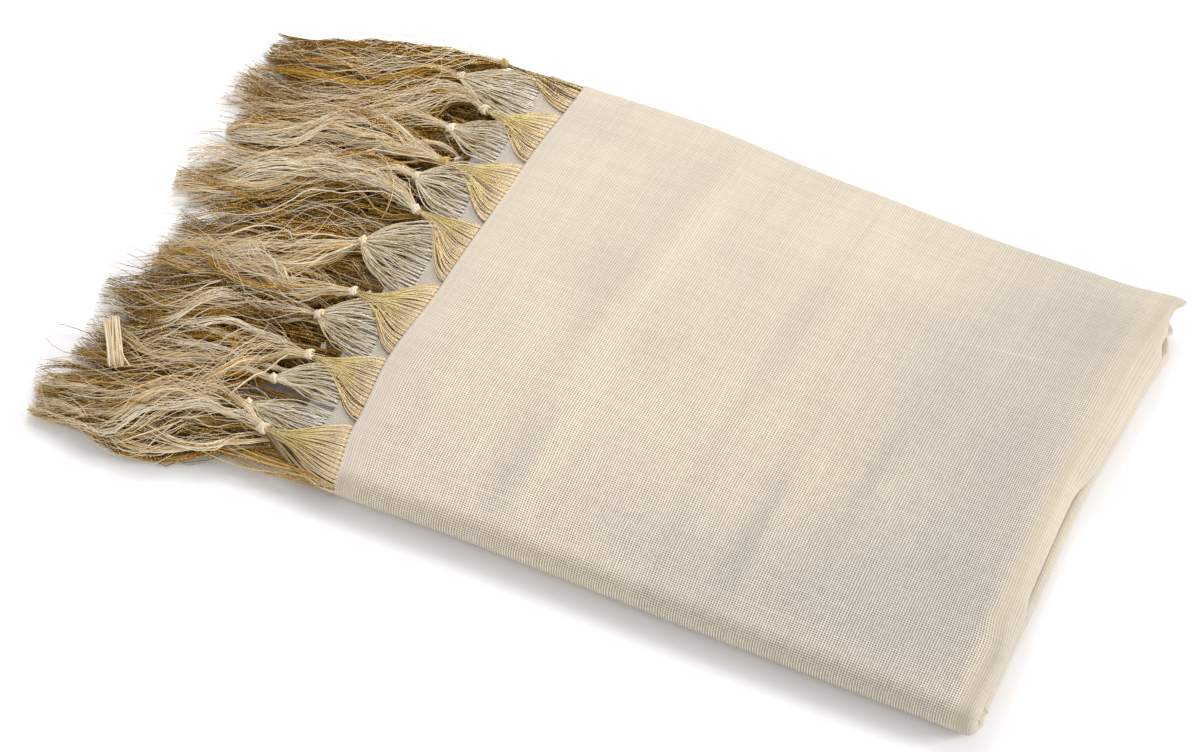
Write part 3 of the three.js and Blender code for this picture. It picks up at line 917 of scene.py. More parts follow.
@dataclass
class Packet:
    """The folded packet's size and form, the same as its solids' but for its corners and lips.

    Attributes:
        length, width, height: the packet's sides.
        curl_end: how far round each half of the outer layer turns at the folded end.
        left_edge, right_edge, back_edge, front_edge: how far each side stands out of a rectangle.
        upper_lean, lower_lean: how far the two halves of the folded end stand out, by place in y.
        meet: how far the upper half slopes down to meet the lower one, by place in y.
        square: how square the inner lips of the folded end are, by place in y: 1 is round.
        folds: the soft folds of the top.
        nudges: the tips and dents at the folded end.
    """

    length: float = 2250 * MM / 8
    width: float = 950 * MM / 4
    height: float = 17 * MM
    curl_end: float = math.radians(171)
    left_edge: Table = ((-117, 0), (-90, 4.5), (-52, 8), (-8, 5.5), (64, 3.5), (119, 0))
    right_edge: Table = ((-117, -1.5), (-60, -2.5), (8, -4), (60, -2), (117, 1))
    back_edge: Table = ((-141, 0.5), (-86, 2), (-7, -2.5), (58, -5), (110, -4), (141, -1))
    front_edge: Table = ((-141, 0.3), (-66, -1.8), (22, -1.6), (138, -2))
    folds: tuple[SoftFold, ...] = (
        SoftFold(-64, 92, -72, 25, 0.4, 7),
        SoftFold(-73, -14, -71, -92, 0.85, 7),
        SoftFold(-53, 92, -53, -92, 0.3, 17),
        SoftFold(-87, -20, -88, -88, -0.3, 11),
        SoftFold(9, 90, 3, -94, 0.5, 8),
        SoftFold(-16, 50, -16, -96, -0.3, 11),
        SoftFold(33, -30, 33, -96, 0.35, 6),
        SoftFold(50, 4, 47, -46, -0.3, 7),
        SoftFold(76, 20, 62, -92, 0.3, 7),
        SoftFold(100, 70, 96, -80, -0.35, 13),
        SoftFold(125, 96, 126, -84, 0.55, 8),
        SoftFold(-95, -50, -92, -100, 0.3, 5),
        SoftFold(-48, -66, -47, -104, 0.3, 5),
        SoftFold(-13, -66, -11, -104, 0.25, 5),
        SoftFold(14, -76, 13, -104, 0.2, 5),
    )
    upper_lean: Table = (
        (-112, -0.6), (-83, 0.2), (-65, -2.6), (-37, -3.8), (12, -4.0),
        (53, -3.9), (90, -4.2), (104, -3.0), (112, -2.4), (119, -1.4),
    )
    lower_lean: Table = (
        (-112, 0), (0, 0.3), (58, 0.9), (88, 1.6),
        (96, 2.2), (101, 0), (108, -4), (119, -8),
    )
    meet: Table = (
        (-112, 0.3), (-99, 0.4), (-88, 1), (-62, 1), (-50, 0.35),
        (2, 0.35), (20, 1), (87, 1), (97, 0.35), (119, 0.3),
    )
    square: Table = (
        (-112, 0.45), (-84, 0.3), (-66, 0.5), (-54, 0.9), (-20, 1.0),
        (4, 0.8), (20, 0.4), (90, 0.3), (119, 0.5),
    )
    nudges: tuple[Nudge, ...] = (
        Nudge(1.0, 48, 3.6, 26, 2.8),
        Nudge(2.0, 118, 6.0, 30, -5.0),
        Nudge(9.5, 100, 3.0, 20, -1.6),
        Nudge(13.0, 150, 3.2, 22, 3.4),
        Nudge(12.5, 114, 2.0, 12, -3.0),
        Nudge(221.5, 128, 3.2, 22, -3.6),
        Nudge(225.5, 150, 2.2, 24, 3.4),
        Nudge(249, 124, 3.0, 24, -2.6),
        Nudge(257, 90, 3.0, 30, 0.8),
    )

    def __post_init__(self) -> None:
        """Works out the sizes that follow from the sides."""
        self.half_length = self.length / 2
        self.half_width = self.width / 2
        self.middle = self.height / 2
        self.curl_radius = self.middle / 2
        self.curl_centre = self.half_length - self.curl_radius
        self.front_axis = -self.half_width + self.middle
        self.top_run = self.width - self.middle
        self.front_run = math.pi * self.middle
        self.full_run = 2 * self.top_run + self.front_run

    def wave(self, x: Array, y: Array) -> Array:
        """Height of the soft folds and of the soft front shoulder.

        Args:
            x, y: places on the top.

        Returns:
            The heights there.
        """
        rise = sum(fold.height(x, y) for fold in self.folds)
        shoulder = -1.0 * MM * ease((-80 * MM - y) / (32 * MM))
        inset = np.minimum.reduce(
            [x + self.half_length, self.curl_centre - x, self.half_width - y, y - self.front_axis]
        )
        return rise * ease(inset / (12 * MM)) + shoulder

    def settle(self, x: Array, y: Array, z: Array, depth: Array) -> Array:
        """Moves points of the plain rectangular packet to its own uneven outline.

        Args:
            x, y, z: the points.
            depth: how far they are under the packet's face.

        Returns:
            The moved points.
        """
        x, y, z, depth = np.broadcast_arrays(x, y, z, depth)
        u = np.clip((x + self.half_length) / self.length, 0, 1)
        v = np.clip((y + self.half_width) / self.width, 0, 1)
        raised = np.maximum(0, (z - self.middle) / (self.middle - depth))
        place_x = x - read(self.left_edge, y) * (1 - u) + read(self.right_edge, y) * u
        place_y = y + read(self.back_edge, x) * v - read(self.front_edge, x) * (1 - v)
        return np.stack([place_x, place_y, z + self.wave(x, y) * raised], -1)

    def lean(self, x: Array, y: Array, upper: Array) -> Array:
        """How far the folded end's halves stand out, from 0 at the lower half to 1 at the upper."""
        near = ease((x - self.curl_centre + 35 * MM) / (35 * MM))
        return near * (read(self.upper_lean, y) * upper + read(self.lower_lean, y) * (1 - upper))

    def wrapped(self, x: Array, curl: Array, around: Array, depth: Array) -> Array:
        """Points of a layer that wraps the packet.

        Args:
            x: place along the packet.
            curl: the angle turned round the folded end.
            around: distance from the back corner over the top, the long fold and the underside.
            depth: how far the points are under the packet's face.

        Returns:
            The points.
        """
        x, curl, around, depth = np.broadcast_arrays(x, curl, around, depth)
        bend = self.curl_radius - depth
        half = self.middle - self.curl_radius + bend * np.cos(curl)
        turn = np.clip((around - self.top_run) / self.middle, 0, math.pi)
        top = around <= self.top_run
        under = around >= self.top_run + self.front_run
        y = np.where(
            top,
            self.half_width - around,
            np.where(
                under,
                self.front_axis + around - self.top_run - self.front_run,
                self.front_axis - half * np.sin(turn),
            ),
        )
        sine = np.abs(np.sin(curl))
        bulge = np.where(curl > math.pi / 2, sine ** read(self.square, y, 1.0), sine)
        upper = np.where(top, 1.0, np.where(under, 0.0, (1 + np.cos(turn)) / 2))
        slope = ease((curl - math.radians(20)) / math.radians(100)) * read(self.meet, y, 1.0)
        near = ease((x - self.curl_centre + 12 * MM) / (12 * MM))
        nudged = near * sum(nudge.amount(around, curl) for nudge in self.nudges)
        place_x = x + bend * bulge + self.lean(x, y, upper * (1 - slope)) + nudged
        return self.settle(place_x, y, self.middle + half * np.cos(turn), depth)

    def left(self, around: Array, depth: Array) -> Array:
        """Points on the top layer's own edge at the fringe."""
        return self.wrapped(-self.half_length, 0.0, around, depth)


def spaced(start: float, stop: float, pitch: float) -> Array:
    """Evenly spaced values from start to stop, both included, about a pitch apart."""
    return np.linspace(start, stop, max(2, math.ceil((stop - start) / pitch) + 1))


# ---- The cloth ----


@dataclass
class OuterLayer:
    """The outermost layer of cloth: over the top, round the long fold and under.

    Attributes:
        packet: the form that it wraps.
        wall: its thickness.
        pitch: the distance between its points.
    """

    packet: Packet
    wall: float = 0.7 * MM
    pitch: float = 2.9 * MM

    def crease(self, x: Array, around: Array) -> Array:
        """How far the cloth stands out of the packet's plain form.

        Args:
            x: place along the packet.
            around: distance round it from the back corner.

        Returns:
            The distances, in metres.
        """
        packet = self.packet
        length_share = (x + packet.half_length) / 0.03
        width_share = around / 0.03
        fine = 0.10 * MM * ripple(11, length_share * 0.55, width_share * 0.12)
        long = 0.14 * MM * ripple(12, length_share * 0.28, width_share * 0.05)
        lift = 0.22 * MM * ripple(13, width_share * 0.5)
        droop = 0.25 * MM * ripple(14, length_share * 0.4)
        near_left = np.exp(-(((x + packet.half_length) / (8 * MM)) ** 2))
        near_back = sum(np.exp(-((gap / (7 * MM)) ** 2)) for gap in (around, around - packet.full_run))
        under = ease((around - packet.top_run - packet.front_run * 0.6) / 0.01)
        total = fine + long + lift * near_left + droop * near_back
        return (total - 0.1 * MM * near_back) * (1 - under)

    def build(self, wardrobe: Wardrobe) -> bpy.types.Object:
        """Makes and dresses the layer.

        Args:
            wardrobe: where its finish comes from.

        Returns:
            The piece.
        """
        packet = self.packet
        edge = [0, 0.6 * MM, 1.6 * MM]
        flat = np.concatenate([edge, spaced(3 * MM, packet.half_length + packet.curl_centre, self.pitch)])
        turns = np.linspace(0, packet.curl_end, 19)[1:]
        tuck = np.linspace(0, 7.5 * MM, 6)[1:]
        x = np.concatenate(
            [flat - packet.half_length, np.full(len(turns), packet.curl_centre), packet.curl_centre - tuck]
        )
        curl = np.concatenate([np.zeros(len(flat)), turns, np.full(len(tuck), packet.curl_end)])
        under = packet.top_run + packet.front_run
        # Points lie closer at the back edges and round the long fold.
        stops = (0, 24 * MM, packet.top_run - 16 * MM, under, packet.full_run - 12 * MM, packet.full_run)
        pitches = (0.9 * MM, self.pitch, 1.0 * MM, 2 * self.pitch, 2 * MM)
        runs = [spaced(start, stop, pitch)[1:] for start, stop, pitch in zip(stops, stops[1:], pitches)]
        around = np.concatenate([[0.0], *runs])
        x, around = np.meshgrid(x, around, indexing="ij")
        curl = np.broadcast_to(curl[:, None], x.shape)
        depth = 0.1 * MM - self.crease(x, around)
        face = packet.wrapped(x, curl, around, depth)
        back = packet.wrapped(x, curl, around, depth + self.wall)
        face[..., 2] = np.maximum(face[..., 2], 0)
        back[..., 2] = np.maximum(back[..., 2], 0.2 * MM)
        weave = np.stack([x + curl * packet.curl_radius, around], -1)
        piece = MeshMaker.shell("outer_cloth", face, back, weave)
        return place(wardrobe.dress(piece, Finish.TOP_CLOTH), "cloth", "outer_layer")


class Side(Enum):
    """The four sides of the packet, in the order in which a ring of its layers passes them."""

    BACK = "back"
    RIGHT = "right"
    FRONT = "front"
    LEFT = "left"


@dataclass
class StackedLayers:
    """The layers inside, whose edges show at the back, at the fringe and in the folded end.

    Attributes:
        packet: the form that holds them.
        depth: from the packet's face to the first of them.
        count: how many double layers there are.
        step: the distance between points along an edge.
    """

    packet: Packet
    depth: float = 1.0 * MM
    count: int = 14
    step: float = 3 * MM

    # One double layer from its groove up: shares of its height, and how far its edge lies back there.
    PROFILE = (0.0, 0.14, 0.5, 0.86)
    INSET = (1.1 * MM, 0.25 * MM, 0.0, 0.25 * MM)
    CLOTH_RUN = 0.7 * MM  # how far the weave runs from one row of points to the next

    def lobe(self, z: Array) -> Array:
        """How far the folded edges inside each curl reach past its centre."""
        off = np.abs(np.abs(z - self.packet.middle) - self.packet.curl_radius)
        return np.sqrt(np.maximum(0, (self.packet.curl_radius - self.depth) ** 2 - off**2))

    def run(self, start: float, stop: float) -> Array:
        """The places along one side, without the last."""
        count = max(3, math.ceil(abs(stop - start) / self.step))
        return np.linspace(start, stop, count + 1)[:-1]

    def ring(self, height: float, cut: float, front: float, lay: int) -> tuple[Array, Array]:
        """One ring of points round the four sides of the plain packet.

        Args:
            height: its height.
            cut: how far the edges lie back there.
            front: where the long rounded fold is at that height, in y.
            lay: the number of its layer.

        Returns:
            The points, and the distance walked to each.
        """
        packet = self.packet
        left = -packet.half_length + 2.2 * MM
        back = packet.half_width - 0.9 * MM
        runs = {
            Side.BACK: self.run(left, packet.curl_centre),
            Side.RIGHT: self.run(back, packet.front_axis),
            Side.FRONT: self.run(packet.curl_centre, left),
            Side.LEFT: self.run(packet.front_axis, back),
        }
        share_up = ease((height - packet.middle + 1 * MM) / (2 * MM))
        points = []
        walked = []
        start = 0.0
        for side, run in runs.items():
            uneven = 0.55 * MM * ripple(100 + lay, run / 0.03) + 0.2 * MM * ripple(300 + lay, run / 0.007)
            over = cut - uneven - 0.35 * MM * math.sin(lay * 2.4)
            x, y = run, run
            if side is Side.BACK:
                y = back - over
            elif side is Side.RIGHT:
                fade = ease((run - packet.front_axis) / (18 * MM)) * ease((112 * MM - run) / (18 * MM))
                reach = self.lobe(height) * fade
                x = packet.curl_centre + reach - 0.6 * MM - cut * 0.5 - (1 - fade) * 4 * MM
                x = x + packet.lean(x, run, share_up)
            elif side is Side.FRONT:
                y = np.full_like(run, front)
            else:
                x = left + over
            points.append(np.stack([x, y, np.full_like(run, height)], -1))
            walked.append(start + np.abs(run - run[0]))
            start += abs(run[-1] - run[0])
        return np.concatenate(points), np.concatenate(walked)

    def build(self, wardrobe: Wardrobe) -> bpy.types.Object:
        """Makes and dresses the layers as one body with stacked edges.

        Args:
            wardrobe: where their finish comes from.

        Returns:
            The piece.
        """
        packet = self.packet
        layer = np.repeat(np.arange(self.count), len(self.PROFILE))
        share = np.append((layer + np.tile(self.PROFILE, self.count)) / self.count, 1.0)
        groove = np.append(np.tile(self.INSET, self.count), self.INSET[0])
        layer = np.append(layer, self.count - 1)
        z = self.depth + (packet.height - 2 * self.depth) * share
        radius = packet.middle - self.depth
        front = packet.front_axis - np.sqrt(np.maximum(0, radius**2 - (z - packet.middle) ** 2))
        rings = []
        weaves = []
        for number, (height, cut, front_y, lay) in enumerate(zip(z, groove, front, layer)):
            ring, walked = self.ring(height, cut, front_y, int(lay))
            rings.append(ring)
            weaves.append(np.stack([walked, np.full_like(walked, number * self.CLOTH_RUN)], -1))
        # The top is sunk, clear of the outer layer's soft folds.
        rings.append(rings[-1] * np.array([0.92, 0.9, 1.0]) - np.array([0.0, 0.0, 1.5 * MM]))
        weaves.append(weaves[-1] + np.array([0.0, 12 * MM]))
        plain = np.array(rings)
        heave = 0.12 * MM * ripple(41, plain[..., 0] / 0.03, plain[..., 1] / 0.03)
        points = packet.settle(plain[..., 0], plain[..., 1], plain[..., 2] + heave, self.depth)
        rows, size = points.shape[:2]
        index = np.arange(rows * size).reshape(rows, size)
        following = np.roll(index, -1, 1)
        quads = np.stack([index[:-1], index[1:], following[1:], following[:-1]], -1).reshape(-1, 4)
        places = np.array(weaves).reshape(-1, 2)
        caps = np.stack([index[0], index[-1, ::-1]])
        maps = {"weave": [places[quads], places[caps]]}
        piece = MeshMaker.make("stacked_layers", points.reshape(-1, 3), [quads, caps], maps)
        return place(wardrobe.dress(piece, Finish.LAYER_CLOTH), "inner_cloth", "inner_layers")


@dataclass(frozen=True)
class Strip:
    """A stretch of cloth that reaches out from under the top layer's edge.

    Attributes:
        name: the piece's name.
        root: how far inside the top layer's edge it starts.
        edge: where it ends.
        depth: how far it lies under the packet's face.
        drop: how far it hangs down by its edge.
        seed: which unevenness its edge has. Its surface has the next one.
        uneven, uneven_run: how uneven its edge is, and the length of that.
        lift, lift_run: the same for its surface.
        cloth_start, cloth_run: where its weave starts and how far it runs.
    """

    name: str
    root: float
    edge: float
    depth: float
    drop: float
    seed: int
    uneven: float
    uneven_run: float
    lift: float
    lift_run: float
    cloth_start: float
    cloth_run: float


@dataclass
class FarEnd:
    """The strip of the cloth's other end past the top layer, and the layer below it.

    Attributes:
        packet: the form that they lie round.
        edge: where the strip ends.
        ledge_edge: where the layer below it ends.
        wall: the thickness of both.
        pitch: the distance between points along their edges.
        rows: how many rows of points each has from its root to its edge.
    """

    packet: Packet
    edge: float = -157 * MM
    ledge_edge: float = -169 * MM
    wall: float = 0.6 * MM
    pitch: float = 2.5 * MM
    rows: int = 9

    def shell(self, strip: Strip, run: Array) -> bpy.types.Object:
        """Makes one of them.

        Args:
            strip: its sizes.
            run: the places along its edge.

        Returns:
            The bare piece.
        """
        packet = self.packet
        share, around = np.meshgrid(np.linspace(0, 1, self.rows), run, indexing="ij")
        uneven = strip.uneven * ripple(strip.seed, around / strip.uneven_run)
        lift = strip.lift * ripple(strip.seed + 1, around / strip.lift_run, share * 2)

        def grid(depth: float) -> Array:
            """Its points at one depth.

            Args:
                depth: how far they lie under the packet's face.

            Returns:
                The points.
            """
            points = packet.wrapped(strip.root - packet.half_length, 0.0, around, depth - lift)
            points[..., 0] += (strip.edge + uneven - points[..., 0]) * share
            points[..., 2] -= strip.drop * share**1.5
            return points

        weave = np.stack([share * strip.cloth_run + strip.cloth_start, around], -1)
        return MeshMaker.shell(strip.name, grid(strip.depth), grid(strip.depth + self.wall), weave)

    def build(self, wardrobe: Wardrobe) -> bpy.types.Object:
        """Makes and dresses the strip.

        Args:
            wardrobe: where its finish comes from.

        Returns:
            The piece.
        """
        top_run = self.packet.top_run
        bent = np.linspace(top_run, top_run + 0.1 * self.packet.front_run, 12)
        strip = Strip(
            "far_end_strip",
            root=0.2 * MM,
            edge=self.edge,
            depth=1.5 * MM,
            drop=0.0,
            seed=51,
            uneven=0.35 * MM,
            uneven_run=20 * MM,
            lift=0.16 * MM,
            lift_run=30 * MM,
            cloth_start=0.0,
            cloth_run=18 * MM,
        )
        piece = self.shell(strip, np.concatenate([spaced(0, top_run, self.pitch), bent[1:]]))
        return place(wardrobe.dress(piece, Finish.END_CLOTH), "cloth", "far_end_edge")

    def ledge(self, wardrobe: Wardrobe) -> bpy.types.Object:
        """Makes and dresses the layer below the strip, which reaches a little farther out.

        Args:
            wardrobe: where its finish comes from.

        Returns:
            The piece.
        """
        strip = Strip(
            "next_layer_ledge",
            root=4 * MM,
            edge=self.ledge_edge,
            depth=3.0 * MM,
            drop=1.8 * MM,
            seed=61,
            uneven=0.5 * MM,
            uneven_run=25 * MM,
            lift=0.2 * MM,
            lift_run=20 * MM,
            cloth_start=50 * MM,
            cloth_run=30 * MM,
        )
        piece = self.shell(strip, spaced(1.5 * MM, self.packet.top_run, self.pitch))
        return place(wardrobe.dress(piece, Finish.LEDGE_CLOTH), "inner_cloth")


# ---- The fringe ----


@dataclass(frozen=True)
class Tassel:
    """One tassel: a stretch of edge gathered into a knot, and a loose tail.

    Attributes:
        start, stop: the stretch of edge, as distance round the packet from the back corner, in mm.
        knot: the knot's place, (x, y).
        path: the line that its tail takes beyond the knot, as (x, y) points.
        pale: how pale its tail is, about 0.5.
        shade: how much darker or lighter its gathered threads are on the side of the back corner.
        gilt: whether its knot is wound with gilt.
        straws: the two ends of a stiff bunch that lies across its tail, where it has one.
        over: where the knots of the two gatherings over it lie, from its own knot.
    """

    start: float
    stop: float
    knot: Point
    path: Table
    pale: float = 0.5
    shade: float = 0.0
    gilt: bool = False
    straws: Table = ()
    over: tuple[Point, Point] = ((7, 8), (12, -9))


class Rank(Enum):
    """The three ranks of tassels."""

    GOLD = "gold"
    CREAM = "cream"
    LOWER = "lower"


@dataclass(frozen=True)
class RankStyle:
    """How the tassels of a rank are made. The tables go by distance beyond the knot.

    Attributes:
        depth: how far under the packet's face their threads leave the cloth.
        knot_z: the height of their knots.
        threads: how many threads each gathers.
        thread_radius: a thread's radius.
        fibres: how many fibres each tail has.
        points: how many points each fibre's line has.
        locks: how many locks the fibres keep together in.
        bed, roof: the lowest and the highest that its fibres lie.
        wide: the tail's half width.
        finish: the finish of its threads.
        slot: the record's material slot.
    """

    depth: float
    knot_z: float
    threads: int
    thread_radius: float
    fibres: int
    points: int
    bed: Table
    roof: Table
    wide: Table
    finish: Finish
    slot: str
    locks: int = 10


UPPER_WIDE = (
    (-3, 0.6), (0, 0.8), (6, 1.5), (14, 3.4), (26, 6.6),
    (42, 9.4), (60, 10.0), (90, 8.2), (115, 6.4),
)
STYLES = {
    Rank.GOLD: RankStyle(
        depth=0.5 * MM,
        knot_z=14.4 * MM,
        threads=76,
        thread_radius=0.3 * MM,
        fibres=285,
        points=20,
        bed=((-3, 13.8), (0, 13.8), (10, 9.5), (22, 5.5), (45, 2.6), (80, 0.8)),
        roof=((-3, 14.8), (0, 14.8), (8, 15.4), (25, 14.4), (50, 12.4), (75, 9.2), (95, 6.2), (118, 3.2)),
        wide=UPPER_WIDE,
        finish=Finish.GOLD_THREAD,
        slot="gold_thread",
    ),
    Rank.CREAM: RankStyle(
        depth=1.75 * MM,
        knot_z=12.2 * MM,
        threads=80,
        thread_radius=0.31 * MM,
        fibres=275,
        points=20,
        bed=((-3, 11.6), (0, 11.6), (8, 7.5), (18, 3.5), (40, 1.2), (80, 0.5)),
        roof=((-3, 12.6), (0, 12.6), (10, 13.4), (25, 12.4), (50, 10.6), (75, 7.8), (95, 5.0), (118, 2.6)),
        wide=UPPER_WIDE,
        finish=Finish.CREAM_THREAD,
        slot="cream_thread",
    ),
    Rank.LOWER: RankStyle(
        depth=0.8 * MM,
        knot_z=2.9 * MM,
        threads=28,
        thread_radius=0.27 * MM,
        fibres=160,
        points=14,
        bed=((-3, 2.4), (0, 2.4), (6, 0.8), (100, 0.4)),
        roof=((-3, 3.2), (0, 3.8), (8, 7.5), (20, 8.5), (45, 7.5), (70, 5.0), (95, 2.0)),
        wide=((-3, 0.6), (0, 1.6), (4, 6.0), (12, 12.0), (32, 14.5), (60, 15.5), (100, 14.0)),
        finish=Finish.FIBRE,
        slot="lower_thread",
    ),
}

GOLD_TASSELS = (
    Tassel(
        1, 18, (-179, 117.5), ((-190, 115), (-206, 110), (-226, 103), (-250, 95), (-282, 88)),
        pale=-0.15,
        shade=-0.6,
        gilt=True,
    ),
    Tassel(
        20, 51, (-175, 89), ((-186, 93), (-197, 91), (-209, 82), (-232, 72), (-258, 66), (-290, 67)),
        pale=0.25,
    ),
    Tassel(
        53, 89, (-177, 54.6), ((-194, 56), (-207, 60), (-221, 59), (-235, 55), (-252, 45), (-275, 34)),
        pale=0.5,
        gilt=True,
    ),
    Tassel(
        91, 126, (-176, 24.8), ((-188, 32), (-200, 36), (-218, 37), (-235, 33), (-254, 22), (-280, 8)),
        pale=0.9,
    ),
    Tassel(
        128, 170, (-179, -27),
        path=((-195, -32), (-206, -36), (-217, -35), (-232, -31), (-249, -28), (-268, -38)),
        pale=0.7,
    ),
    Tassel(
        172, 207, (-180, -65),
        path=((-193, -67), (-204, -76), (-211, -87), (-219, -99), (-236, -109), (-254, -117), (-276, -128)),
        pale=0.5,
        straws=((-264, -83), (-252, -101.6)),
    ),
    Tassel(
        209, 248, (-179, -107),
        path=(
            (-191, -104), (-203, -104), (-215, -108), (-228, -116),
            (-242, -127), (-258, -134), (-277, -137),
        ),
        pale=0.75,
    ),
)
CREAM_TASSELS = (
    Tassel(1, 31, (-194, 104), ((-208, 102), (-226, 96), (-250, 90), (-284, 92)), pale=-0.15),
    Tassel(33, 58, (-184, 74.5), ((-200, 73), (-220, 71), (-246, 60), (-279, 54)), pale=0.05),
    Tassel(60, 94, (-185, 43.5), ((-197, 44), (-213, 40), (-236, 28), (-260, 18), (-286, 10)), pale=0.5),
    Tassel(96, 140, (-189, 0.8), ((-200, -9), (-213, -20), (-228, -24), (-248, -34), (-270, -40)), pale=0.7),
    Tassel(142, 178, (-187, -43), ((-204, -46), (-226, -51), (-252, -58), (-281, -65)), pale=0.3),
    Tassel(180, 204, (-188, -81), ((-204, -82), (-226, -85), (-250, -92), (-276, -93)), pale=0.25),
    Tassel(
        206, 228, (-191, -97), ((-204, -98), (-220, -101), (-242, -107), (-264, -114), (-281, -121)),
        pale=0.55,
    ),
)
LOWER_COUNT = 7
LOWER_PALE = 0.05
FRONT_PATH = ((-198, -100), (-214, -112), (-232, -119), (-254, -117), (-272, -121))

# The two long sides of the fringe, as rows of (x, y).
FRONT_SIDE = (
    (-278, -134), (-256, -132.5), (-232, -137.5), (-212, -133.5),
    (-198, -126), (-188, -119), (-176, -115.5), (-144, -115),
)
BACK_SIDE = (
    (-278, 103), (-270, 105), (-254, 112), (-237, 119),
    (-220, 125), (-202, 129.5), (-184, 133), (-140, 134),
)
HEIGHT_SHARE = 0.864  # how much a fibre's height counts against the back side

USUAL_STRETCH = 34  # the edge that a tassel gathers a style's full count of threads from, in mm
KNOT_LEAD = 3  # a tail's line starts this far before its knot, in mm
# How far the fibres of one lock keep apart, by distance beyond the knot.
LOCK_SPREAD = ((-3, 0.25), (0, 0.35), (10, 0.5), (35, 0.75), (70, 0.95), (115, 1.7))


def follow(at: Array, distance: Array, line: Array) -> Array:
    """The (x, y) of a line at distances along it, where it is known at others."""
    return np.stack([np.interp(at, distance, line[:, axis]) for axis in (0, 1)], -1)


